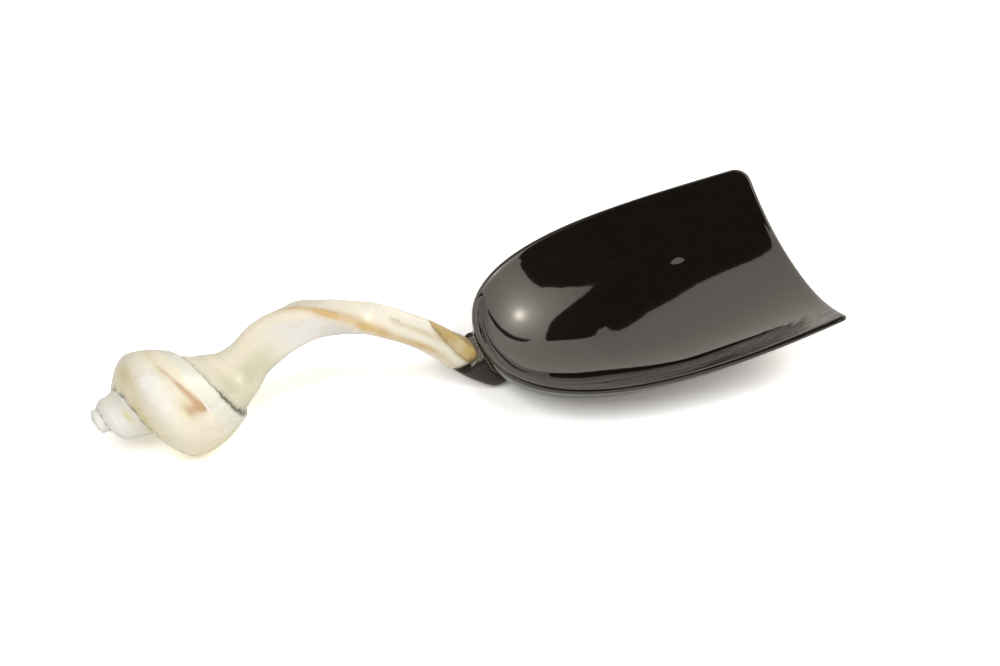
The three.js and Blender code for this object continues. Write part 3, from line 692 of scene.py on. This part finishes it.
def coil_point(turn, share):
    """Points on the coils from the spire's tip, by turns along the seam and share of the way to the next."""
    axis, up = spire_axes()
    start, end = between(SEAM, 1, turn), between(SEAM, 1, turn + 1)
    first, last = between(SEAM, 2, turn), between(SEAM, 2, turn + 1)
    full = between(FULLEST, 1, turn)
    rise = np.sin(np.clip(share / FULLEST_AT, 0, 1) * math.pi / 2) ** SHOULDER_BEND
    fall = np.clip((share - FULLEST_AT) / (1 - FULLEST_AT), 0, 1) ** BASE_BEND
    radius = np.where(share < FULLEST_AT, first + (full - first) * rise, full - (full - last) * fall)
    angle = math.radians(SEAM_START_ANGLE) + turn * 2 * math.pi
    return (np.multiply.outer(start + (end - start) * share, axis)
            + np.multiply.outer(radius * np.cos(angle), (0, 1, 0))
            + np.multiply.outer(radius * np.sin(angle), up))


def wound(points):
    """Where a flat strip goes when it is wound round the axis, each wrap's edge on the next one's."""
    across, along = points[:, 0] + 0.5, (points[:, 1] + 0.5) * WRAPS
    wrap = np.minimum(np.floor(along + 1e-6), WRAPS - 1)
    return coil_point(wrap - 1 + across, along - wrap)


def seam_turn(local):
    """The part of a turn that each point lies at round the axis, from where a whole turn starts."""
    _, up = spire_axes()
    angle = np.arctan2(local @ up, local[:, 1])
    return ((angle - math.radians(SEAM_START_ANGLE)) / (2 * math.pi)) % 1.0


def coil_measures(points, tip):
    """Each point's turns round the coils, share of the way between two seams, and distance past the neck's."""
    axis, _ = spire_axes()
    local = points / MM - tip
    along = local @ axis
    part_turn = seam_turn(local)
    turn = part_turn - 1
    for whole in (0, 1):
        turn = np.where(along >= between(SEAM, 1, part_turn + whole), part_turn + whole, turn)
    start, end = between(SEAM, 1, turn), between(SEAM, 1, turn + 1)
    share = np.clip((along - start) / np.maximum(end - start, 0.1), 0, 1.2)
    return turn, share, along - between(SEAM, 1, part_turn + 2)


def bar_path():
    """The bar's middle line, as station numbers, points and directions."""
    knots = np.array([(row[0], row[1]) for row in BAR_STATIONS])
    ends = 2 * knots[[0, -1]] - knots[[1, -2]]
    knots = np.concatenate([ends[:1], knots, ends[1:]])
    station, points = [], []
    for i in range(1, len(knots) - 2):
        before, here, there, after = knots[i - 1:i + 3]
        gaps = [math.sqrt(np.hypot(*(b - a))) for a, b in ((before, here), (here, there), (there, after))]
        t = np.linspace(0, 1, 33)[:-1] if i < len(knots) - 3 else np.linspace(0, 1, 33)
        step = (there - here) / gaps[1]
        leave = (here - before) / gaps[0] - (there - before) / (gaps[0] + gaps[1]) + step
        arrive = step - (after - here) / (gaps[1] + gaps[2]) + (after - there) / gaps[2]
        leave, arrive = leave * gaps[1], arrive * gaps[1]
        t = t[:, None]
        points.append((2 * t ** 3 - 3 * t ** 2 + 1) * here + (t ** 3 - 2 * t ** 2 + t) * leave
                      + (3 * t ** 2 - 2 * t ** 3) * there + (t ** 3 - t ** 2) * arrive)
        station.append(i - 1 + t[:, 0])
    station, points = np.concatenate(station), np.concatenate(points)
    ways = np.gradient(points, station, axis=0)
    return station, points, ways / np.hypot(ways[:, 0], ways[:, 1])[:, None]


def bar_corners(station):
    """The bar's three corners there, as angles, reaches and radius."""
    table = [(i, *row) for i, row in enumerate(BAR_STATIONS)]
    angles = [np.radians(between(table, 3 + 2 * k, station)) for k in range(3)]
    reaches = [between(table, 4 + 2 * k, station) for k in range(3)]
    return angles, reaches, between(table, 9, station)


def bar_section(station):
    """The bar's outline there, as offsets up and to the near side."""
    angles, reaches, radius = bar_corners(station)
    centres = [(r * math.cos(a), r * math.sin(a)) for a, r in zip(angles, reaches)]
    sides = []
    for i in range(3):
        (up0, near0), (up1, near1) = centres[i], centres[(i + 1) % 3]
        sides.append(math.atan2(near1 - near0, up1 - up0) - math.pi / 2)
    outline = []
    for i in range(3):
        arrive, leave = sides[i - 1], sides[i]
        sweep = (leave - arrive) % (2 * math.pi)
        for k in range(CORNER_STEPS):
            angle = arrive + sweep * k / CORNER_STEPS
            outline.append(np.add(centres[i], (radius * math.cos(angle), radius * math.sin(angle))))
        start = np.add(centres[i], (radius * math.cos(leave), radius * math.sin(leave)))
        end = np.add(centres[(i + 1) % 3], (radius * math.cos(leave), radius * math.sin(leave)))
        for k in range(FACE_STEPS):
            t = k / FACE_STEPS
            bulge = FLAT_CROWN * 4 * t * (1 - t)
            outline.append(start + (end - start) * t + (bulge * math.cos(leave), bulge * math.sin(leave)))
    return np.array(outline)


def bar_rings():
    """The bar's rings of points from inside the coils to its domed end."""
    station, path, ways = bar_path()
    rings = []
    for i in range(BAR_RINGS + BAR_END_RINGS + 1):
        at = min(i / BAR_RINGS, 1) * (len(BAR_STATIONS) - 1)
        x, z, way_x, way_z = (np.interp(at, station, column) for column in (*path.T, *ways.T))
        angle = max(i - BAR_RINGS, 0) / (BAR_END_RINGS + 0.4) * math.pi / 2
        scale = math.cos(angle) ** BAR_END_BLUNTNESS
        rise, near = bar_section(at).T * scale
        on = BAR_END_DOME * math.sin(angle)
        rings.append(np.stack([
            REAR_RIM_X + x + way_x * on - way_z * rise, -near, z + way_z * on + way_x * rise,
        ], 1) * MM)
    return np.array(rings)


def flared(points, tip):
    """Draws the bar's root out to meet the seam of the last coil, as the pillar of a shell does."""
    axis, _ = spire_axes()
    local = points / MM - tip
    along = local @ axis
    radial = local - np.multiply.outer(along, axis)
    radius = np.maximum(np.linalg.norm(radial, axis=1), 0.1)
    turn = seam_turn(local)
    turn = np.where(turn > 0.85, turn - 1, turn)
    gap = np.maximum(ROOT_REACH * between(SEAM, 2, turn + 2) - radius, 0)
    past = along - between(SEAM, 1, turn + 2)
    near = np.exp(-(np.maximum(past, 0) / ROOT_LENGTH) ** 1.5) * smooth((past - ROOT_START) / ROOT_FADE_IN)
    (start, fade_in), (end, fade_out) = ROOT_SIDE
    side = smooth((turn - start) / fade_in) * (1 - smooth((turn - end) / fade_out))
    return points + radial * (gap * near * side / radius)[:, None] * MM


def bar_measures(points):
    """Each point's station along the bar, and way round it from the ridge, 0 to 3 with a corner at each."""
    station, path, ways = bar_path()
    local = points / MM - (REAR_RIM_X, 0, 0)
    nearest = np.empty(len(points), int)
    for start in range(0, len(points), 4000):
        part = local[start:start + 4000]
        away = (part[:, 0, None] - path[:, 0]) ** 2 + (part[:, 2, None] - path[:, 1]) ** 2
        nearest[start:start + 4000] = away.argmin(1)
    offset = local[:, [0, 2]] - path[nearest]
    rise = offset[:, 1] * ways[nearest, 0] - offset[:, 0] * ways[nearest, 1]
    angle = np.arctan2(-local[:, 1], rise)
    angles, _, _ = bar_corners(station[nearest])
    turn = (angle - angles[0]) % (2 * math.pi)
    under, back = angles[1] - angles[0], angles[2] - angles[0]
    way = np.where(turn < under, turn / under, np.where(
        turn < back, 1 + (turn - under) / (back - under), 2 + (turn - back) / (2 * math.pi - back)))
    return station[nearest], way


def hump(value, middle, reach):
    """One at a middle value, and next to nothing twice the reach away."""
    return np.exp(-((value - middle) / reach) ** 2)


def span(value, start, end, edge):
    """One between two values, with soft edges."""
    return smooth((value - start) / edge + 0.5) * smooth((end - value) / edge + 0.5)


def on_body(turn):
    """One on the body whorl and nothing on the spire's coils."""
    return smooth((turn - 0.98) / 0.04)


def coil_bands(turn, share):
    """How much straw, tan, milk and pink shows at each place on the coils: mostly layers that the grinding
    laid bare, with a painted highlight in the milk.
    """
    body = on_body(turn)
    slant, widening = 0.60 + 1.2 * (turn - 1.18), 0.25 * np.clip(turn - 1.2, 0, 0.1)
    bands = {
        "straw": body * (
            0.8 * hump(share, 0.05, 0.06) * span(turn, 1.22, 1.6, 0.1)
            + 0.3 * (1 - smooth((share - 0.05) / 0.25))
            + 0.7 * span(turn, 1.45, 1.9, 0.08) * span(share, 0.1, 0.9, 0.3)
        ),
        "tan": body * (
            hump(share, slant, 0.03 + widening) * span(turn, 1.15, 1.315, 0.03)
            * (0.5 + 0.5 * smooth((turn - 1.18) / 0.08))
            + 0.75 * hump(turn, 1.3, 0.02) * span(share, 0.55, 0.76, 0.08)
        ),
        "milk_and_highlight": body * 0.9 * hump(share, 0.785, 0.013) * span(turn, 1.2, 1.325, 0.03),
        "pink": (1 - body) * 0.4 * hump(share, 0.88, 0.08),
    }
    for layer, strength, at_share, share_reach, at_turn, turn_reach in PATCHES:
        patch = strength * hump(share, at_share, share_reach) * hump(turn, at_turn, turn_reach)
        bands[layer] = bands[layer] + (body if at_turn > 1 else 1 - body) * patch
    return bands.values()


def bar_bands(station, way):
    """How much beige and painted shade, cool white, ochre and gold shows on the bar, and the dark edge of its
    golden end.
    """
    from_ridge = (way + 1.5) % 3 - 1.5
    # Painted shade: the beige darkens the bar's underside near the neck, and neck_shade darkens it most just
    # past the coils.
    neck_shade = 0.45 * hump(way, 0.68, 0.14) * hump(station, 3.3, 0.7)
    beige_and_shade = (0.1 + 0.55 * span(way, 0.45, 1.5, 0.35) + neck_shade) * (1 - smooth((station - 4.5) / 2.5))
    cool = span(way, 0.2, 1.4, 0.2) * smooth((station - 4.5) / 2) * (1 - smooth((station - 10) / 2))
    run = np.interp(station, *STREAK_RUN)
    ochre = (np.interp(station, *STREAK_STRENGTH) * hump(from_ridge, run, 0.12)
             + 0.4 * hump(from_ridge, run - 0.13, 0.16) * span(station, 6.5, 12.5, 1.5))
    line = np.interp(station, *GOLD_LINE)
    started = smooth((station - GOLD_START) / 0.3)
    gold = (span(way, 1.2, line, 0.05) * started
            + 0.45 * hump(way, 2.35, 0.1) * span(station, 12.2, 14.6, 0.8)
            + 0.6 * hump(way, line + 0.04, 0.07) * smooth((station - 14) / 0.4))
    edge = hump(way, line, 0.025) * started + 0.5 * hump(way, 2.27, 0.03) * span(station, 12.2, 13, 0.2)
    return beige_and_shade, cool, ochre, gold, edge


def seam_shares(turn, share, past):
    """How strongly the ragged seam at the neck shows at each place, and the fine seams between the coils."""
    ragged = past + 0.1 * np.sin(turn * 97) + 0.1 * np.sin(turn * 231 + 1.3) + 0.06 * np.sin(turn * 530)
    wide = 0.24 + 0.25 * span(turn, 1.3, 1.45, 0.06)
    neck = (0.6 + 0.4 * span(turn, 1.25, 1.5, 0.1)) * hump(ragged, 0.1, wide)
    return neck, hump(np.minimum(share, 1 - share) * 12, 0, 0.3) * (past < -5)


def sink_seams(piece, tip, depth):
    """Sinks the seams into the shell, towards the coils' axis."""
    points = points_of(piece)
    turn, share, past = coil_measures(points, tip)
    neck, upper = seam_shares(turn, share, past)
    axis, _ = spire_axes()
    local = points / MM - tip
    radial = local - np.multiply.outer(local @ axis, axis)
    radial /= np.maximum(np.linalg.norm(radial, axis=1), 0.1)[:, None]
    beside = smooth((turn - 1.02) / 0.06) * neck
    move_points(piece, points - radial * (np.maximum(beside, 0.6 * upper) * depth)[:, None])


def paint_shell(piece, tip):
    """Stores on the shell how strong each of its layers and lines shows at each point, for its material, with
    the painted highlight and shades among them.
    """
    turn, share, past = coil_measures(points_of(piece), tip)
    station, way = bar_measures(points_of(piece))
    on_bar = smooth(past / 0.6 + 0.5)
    straw, tan, milk_and_highlight, pink = coil_bands(turn, share)
    beige_and_shade, cool, ochre, gold, edge = bar_bands(station, way)
    neck, upper = seam_shares(turn, share, past)
    # The seam, and past it a painted shade in the seam's colour that spreads onto the neck.
    seam = neck + 0.3 * hump(past, 0.8, 0.9)
    body = on_body(turn)
    dashes = (0.45 + 0.45 * np.sin(turn * 61)) * upper
    on_coils = 1 - on_bar
    bar_white = 0.3 * smooth((station - 5) / 3)
    rim = body * smooth((share - 0.78) / 0.04)
    layers = {
        "straw_tan_milk_highlight": (on_coils * straw, on_coils * tan, on_coils * milk_and_highlight + on_bar * bar_white),
        "pink_beige_shade_cool": (on_coils * pink, on_bar * beige_and_shade, on_bar * cool),
        "ochre_gold_edge": (on_bar * ochre, on_bar * gold, on_bar * edge),
        "seam_shade_rim_spire": (seam, on_coils * rim, on_coils * (1 - body)),
        "growth": (turn * on_coils + station * on_bar, share * on_coils + way * on_bar, dashes),
    }
    for name, columns in layers.items():
        layer = piece.data.attributes.new(name, "FLOAT_VECTOR", "POINT")
        layer.data.foreach_set("vector", np.stack(columns, 1).astype(np.float32).ravel())


# Operators


class SPOON_OT_scoop(bpy.types.Operator):
    """Cut a round blank of horn, press it in the mould, and rub its rim round"""

    bl_idname = "spoon.scoop"
    bl_label = "Press the Horn Scoop"

    def execute(self, context):
        settings = context.scene.spoon.scoop
        start_alone()
        bpy.ops.mesh.primitive_circle_add(vertices=EDGE_POINTS, radius=1.0, fill_type="NOTHING")
        piece = context.object
        piece.name = piece.data.name = "horn_scoop"
        bpy.ops.object.mode_set(mode="EDIT")
        bpy.ops.mesh.select_all(action="SELECT")
        rings = [1 - (1 - BLANK_HUB) * k / BLANK_RINGS for k in range(BLANK_RINGS + 1)]
        for outer, inner in zip(rings, rings[1:]):
            bpy.ops.mesh.extrude_edges_move()
            bpy.ops.transform.resize(value=(inner / outer,) * 3, center_override=(0, 0, 0))
        bpy.ops.mesh.fill_grid(span=EDGE_POINTS // 4)
        bpy.ops.object.mode_set(mode="OBJECT")
        move_points(piece, pressed(points_of(piece)))
        bpy.ops.object.mode_set(mode="EDIT")
        bpy.ops.mesh.select_all(action="SELECT")
        bpy.ops.mesh.normals_make_consistent(inside=False)
        bpy.ops.object.mode_set(mode="OBJECT")
        if sum(face.normal.z * face.area for face in piece.data.polygons) > 0:
            bpy.ops.object.mode_set(mode="EDIT")
            bpy.ops.mesh.flip_normals()
            bpy.ops.object.mode_set(mode="OBJECT")
        piece.vertex_groups.new(name="rim")
        apply_modifier(piece, "SOLIDIFY", thickness=settings.thickness, offset=-1.0,
                       use_even_offset=True, use_quality_normals=True, rim_vertex_group="rim")
        self.round_rim(piece, settings.rim_round)
        apply_modifier(piece, "SUBSURF", levels=1, render_levels=1)
        self.mark_rim(piece)
        hand_over(piece, polished_black_horn(settings.colour), "polished_horn", "scoop_bowl")
        return {"FINISHED"}

    def mark_rim(self, piece):
        """Stores the drop below the rim, the run along it and how strong the scraper's marks are."""
        x, y, z = (points_of(piece) / MM - (REAR_RIM_X, 0, 0)).T
        drop = rim_height(x) - z
        beside = smooth((-y / np.maximum(half_width(x), 1) - 0.6) / 0.2)
        strength = (1 - smooth((drop - 8) / 6)) * beside * smooth((x - 15) / 25)
        layer = piece.data.attributes.new("rim_marks", "FLOAT_VECTOR", "POINT")
        layer.data.foreach_set("vector", np.stack((drop, x, strength), 1).astype(np.float32).ravel())

    def round_rim(self, piece, radius):
        """Bevels the two edges of the plate's rim."""
        rim = {v.index for v in piece.data.vertices if any(g.weight > 0.5 for g in v.groups)}
        for face in piece.data.polygons:
            face.select = all(i in rim for i in face.vertices)
        if not any(face.select for face in piece.data.polygons):
            raise RuntimeError("the scoop's rim was not found")
        bpy.ops.object.mode_set(mode="EDIT")
        bpy.ops.mesh.select_mode(type="FACE")
        bpy.ops.mesh.region_to_loop()
        bpy.ops.mesh.bevel(offset=radius, segments=4, profile=0.5, affect="EDGES")
        bpy.ops.object.mode_set(mode="OBJECT")


class SPOON_OT_shell_handle(bpy.types.Operator):
    """Wind the shell's coils, draw out its pillar into the bar, grind the two into one and sink the seams"""

    bl_idname = "spoon.shell_handle"
    bl_label = "Grind the Shell Handle"

    def execute(self, context):
        settings = context.scene.spoon.shell
        coils, tip = self.wind_coils()
        bar = self.draw_bar(tip)
        pick(coils)
        bar.select_set(True)
        bpy.ops.object.join()
        coils.name = coils.data.name = "turban_shell_handle"
        apply_modifier(coils, "REMESH", mode="VOXEL", voxel_size=SHELL_VOXEL)
        apply_modifier(coils, "SMOOTH", factor=0.5, iterations=SHELL_SMOOTHING)
        sink_seams(coils, tip, settings.seam_depth)
        paint_shell(coils, tip)
        hand_over(coils, ground_sea_shell(settings), "polished_shell", "shell_handle")
        return {"FINISHED"}

    def wind_coils(self):
        """A flat strip wound round the axis, its edges joined, and the place of the spire's tip."""
        start_alone()
        rows = WRAPS * COIL_ROWS
        bpy.ops.mesh.primitive_grid_add(x_subdivisions=COIL_STEPS, y_subdivisions=rows, size=1.0)
        piece = bpy.context.object
        coils = wound(points_of(piece))
        tip = np.array([REAR_RIM_X + SPIRE_TIP_X, -SPIRE_SIDE, -coils[:, 2].min()])
        move_points(piece, (coils + tip) * MM)
        self.close(piece)
        return piece, tip

    def draw_bar(self, tip):
        """A ring drawn out along the bar's middle line, corner by corner."""
        start_alone()
        bpy.ops.mesh.primitive_circle_add(vertices=BAR_AROUND, radius=1.0, fill_type="NOTHING")
        piece = bpy.context.object
        bpy.ops.object.mode_set(mode="EDIT")
        bpy.ops.mesh.select_all(action="SELECT")
        for _ in range(BAR_RINGS + BAR_END_RINGS):
            bpy.ops.mesh.extrude_edges_move()
            bpy.ops.transform.translate(value=(0, 0, 1))
        bpy.ops.object.mode_set(mode="OBJECT")
        drawn = points_of(piece)
        ring = np.rint(drawn[:, 2]).astype(int)
        angle = np.arctan2(drawn[:, 1], drawn[:, 0])
        spoke = np.rint(angle / (2 * math.pi) * BAR_AROUND).astype(int) % BAR_AROUND
        move_points(piece, flared(bar_rings()[ring, spoke], tip))
        self.close(piece)
        return piece

    def close(self, piece):
        """Joins what meets, closes what is open, and turns the faces outwards."""
        pick(piece)
        bpy.ops.object.mode_set(mode="EDIT")
        bpy.ops.mesh.select_all(action="SELECT")
        bpy.ops.mesh.remove_doubles(threshold=0.002 * MM)
        bpy.ops.mesh.select_all(action="DESELECT")
        bpy.ops.mesh.select_mode(type="EDGE")
        bpy.ops.mesh.select_non_manifold(
            extend=False, use_wire=True, use_boundary=True, use_multi_face=False,
            use_non_contiguous=False, use_verts=False,
        )
        bpy.ops.mesh.fill_holes(sides=0)
        bpy.ops.mesh.select_all(action="SELECT")
        bpy.ops.mesh.quads_convert_to_tris()
        bpy.ops.mesh.normals_make_consistent(inside=False)
        bpy.ops.mesh.select_mode(type="VERT")
        bpy.ops.object.mode_set(mode="OBJECT")


class SPOON_OT_heel(bpy.types.Operator):
    """File the heel smooth between the scoop and the table"""

    bl_idname = "spoon.heel"
    bl_label = "File the Heel"

    def execute(self, context):
        settings = context.scene.spoon.heel
        piece = copy_of_node("handle_cradle", "horn_heel")
        apply_modifier(piece, "REMESH", mode="VOXEL", voxel_size=HEEL_VOXEL)
        rounds = round((settings.softening / HEEL_VOXEL) ** 2 * 2)
        apply_modifier(piece, "SMOOTH", factor=0.5, iterations=rounds)
        hand_over(piece, filed_brown_horn(settings.colour), "filed_horn", "handle_cradle")
        return {"FINISHED"}


class SPOON_OT_glue(bpy.types.Operator):
    """Run in the clear glue round the end of the bar, and finish the hidden beds and the pin"""

    bl_idname = "spoon.glue"
    bl_label = "Set the Glue and Pin"

    def execute(self, context):
        glue = set_clear_glue()
        piece = copy_of_node("glue_bead", "clear_glue_bead")
        apply_modifier(piece, "REMESH", mode="VOXEL", voxel_size=BEAD_VOXEL)
        apply_modifier(piece, "SMOOTH", factor=0.5, iterations=BEAD_SMOOTHING)
        hand_over(piece, glue, "clear_glue", "glue_bead")
        for node in ("cradle_glue_bed", "strap_glue_bed"):
            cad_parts[node].material_slots[0].material = glue
        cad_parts["strap_pin"].material_slots[0].material = drawn_steel_wire()
        return {"FINISHED"}


class SPOON_OT_stage(bpy.types.Operator):
    """Lay the paper, hang the white cloth round it and set up the camera"""

    bl_idname = "spoon.stage"
    bl_label = "Set the Stage"

    def execute(self, context):
        settings = context.scene.spoon.stage
        start_alone()
        bpy.ops.mesh.primitive_plane_add(size=8.0)
        paper = context.object
        paper.name = paper.data.name = "paper_floor"
        paper.data.materials.append(white_paper(settings.paper))
        self.hang_cloth(context.scene, settings.light)
        for name, heading, height, distance, size, power in SOFT_BOXES:
            start_alone()
            heading, height = math.radians(heading), math.radians(height)
            level = distance * math.cos(height)
            bpy.ops.object.light_add(
                type="AREA",
                location=(level * math.sin(heading), level * math.cos(heading), distance * math.sin(height)),
                rotation=(math.pi / 2 - height, 0, math.pi - heading),
            )
            lamp = context.object
            lamp.name = lamp.data.name = name
            lamp.data.shape = "SQUARE"
            lamp.data.size = size
            lamp.data.energy = power
            lamp.visible_glossy = False
        start_alone()
        bpy.ops.object.camera_add(
            location=CAMERA_PLACE,
            rotation=(math.radians(90 - CAMERA_DIP), 0, math.radians(-CAMERA_HEADING)),
        )
        camera = context.object
        camera.name = camera.data.name = "camera"
        camera.data.lens = CAMERA_LENS
        camera.data.sensor_width = 36
        camera.data.clip_start = 0.01
        context.scene.camera = camera
        context.scene.view_settings.view_transform = "Standard"
        return {"FINISHED"}

    def hang_cloth(self, scene, level):
        """A tent of white cloth with a dark open top: the world that lights the spoon."""
        world = bpy.data.worlds.new("white_cloth_tent")
        scene.world = world
        world.use_nodes = True
        tree = world.node_tree
        tree.nodes.clear()
        way = add(tree, "TexCoord").outputs["Generated"]
        split = add(tree, "SeparateXYZ", {"Vector": way}).outputs
        heading = add(tree, "Math", {0: split["X"], 1: split["Y"]}, operation="ARCTAN2")
        round_share = add(tree, "Math", {
            0: heading, 1: 1 / (2 * math.pi), 2: 0.5,
        }, operation="MULTIPLY_ADD").outputs[0]
        height = split["Z"]
        hem, second_start, second_end = self.edge_heights(tree, round_share, CLOTH_EDGES)
        below = self.over(tree, hem, height, CLOTH_SOFTNESS)
        second = add(tree, "Math", {
            0: self.over(tree, height, second_start, CLOTH_SOFTNESS),
            1: self.over(tree, second_end, height, CLOTH_SOFTNESS),
        }, operation="MULTIPLY")
        either = add(tree, "Math", {0: below, 1: second}, operation="MAXIMUM")
        underside, top, _ = self.edge_heights(tree, round_share, ARM_EDGES)
        clear = add(tree, "Math", {
            0: self.over(tree, underside, height, ARM_SOFTNESS),
            1: self.over(tree, height, top, ARM_SOFTNESS),
        }, operation="MAXIMUM")
        open_cloth = add(tree, "Math", {
            0: either, 1: clear,
        }, operation="MULTIPLY")
        cloth = add(tree, "MapRange", {"Value": open_cloth, "To Min": DARK_LEVEL})
        facing = add(tree, "VectorMath", {0: way, 1: LAMP_WAY}, operation="DOT_PRODUCT")
        off = add(tree, "Math", {0: facing.outputs["Value"], 1: 1.0}, operation="SUBTRACT")
        lit = level
        for tightness, strength in LAMP_GLOWS:
            steep = add(tree, "Math", {0: off, 1: tightness}, operation="MULTIPLY")
            fall = add(tree, "Math", {0: steep}, operation="EXPONENT")
            glow = add(tree, "Math", {0: fall, 1: strength}, operation="MULTIPLY")
            lit = add(tree, "Math", {0: glow, 1: lit}, operation="ADD").outputs[0]
        hung = add(tree, "Math", {0: lit, 1: cloth}, operation="MULTIPLY")
        rays = add(tree, "LightPath").outputs
        share = add(tree, "MapRange", {"Value": rays["Is Glossy Ray"], "To Min": PLAIN_SHARE})
        shown = add(tree, "Math", {0: hung, 1: share}, operation="MULTIPLY")
        tent = add(tree, "Background", {"Color": linear("fff6e8"), "Strength": shown})
        plain = add(tree, "Background", {"Color": (1.0, 1.0, 1.0, 1.0), "Strength": 1.0})
        mixed = add(tree, "MixShader", {
            0: rays["Is Camera Ray"], 1: tent, 2: plain,
        })
        add(tree, "OutputWorld", {"Surface": mixed})

    def edge_heights(self, tree, round_share, edges):
        """The three heights of a table's edges all round the tent, each as the sine of its angle."""
        stops = []
        for heading, *angles in edges:
            angles += NO_EDGES[:3 - len(angles)]
            stops.append(((heading + 180) / 360, (*(math.sin(math.radians(a)) for a in angles), 1.0)))
        ramp = add(tree, "ValToRGB", {"Fac": round_share}, stops=stops)
        return add(tree, "SeparateXYZ", {"Vector": ramp.outputs["Color"]}).outputs

    def over(self, tree, one, other, softness):
        """One where the first height is over the other, with a soft edge."""
        lead = add(tree, "Math", {0: one, 1: other}, operation="SUBTRACT")
        return add(tree, "MapRange", {
            "Value": lead, "From Min": -softness, "From Max": softness,
        }).outputs[0]


class SPOON_PT_panel(bpy.types.Panel):
    """Lists the spoon's settings and the steps that make it"""

    bl_idname = "SPOON_PT_panel"
    bl_label = "Rice Spoon"
    bl_space_type = "VIEW_3D"
    bl_region_type = "UI"
    bl_category = "Rice Spoon"

    def draw(self, context):
        spoon = context.scene.spoon
        for group in (spoon.scoop, spoon.heel, spoon.shell, spoon.stage):
            box = self.layout.box()
            for name in group.bl_rna.properties.keys():
                if name not in {"rna_type", "name"}:
                    box.prop(group, name)
        for step in STEPS:
            self.layout.operator(step.bl_idname)


STEPS = (SPOON_OT_scoop, SPOON_OT_shell_handle, SPOON_OT_heel, SPOON_OT_glue, SPOON_OT_stage)
CLASSES = (ScoopSettings, HeelSettings, ShellSettings, StageSettings, SpoonSettings, *STEPS, SPOON_PT_panel)


def register():
    for cls in CLASSES:
        bpy.utils.register_class(cls)
    bpy.types.Scene.spoon = PointerProperty(type=SpoonSettings)


def unregister():
    del bpy.types.Scene.spoon
    for cls in reversed(CLASSES):
        bpy.utils.unregister_class(cls)


def main():
    register()
    bpy.ops.spoon.stage()
    bpy.ops.spoon.scoop()
    bpy.ops.spoon.shell_handle()
    bpy.ops.spoon.heel()
    bpy.ops.spoon.glue()


if __name__ == "__main__":
    main()
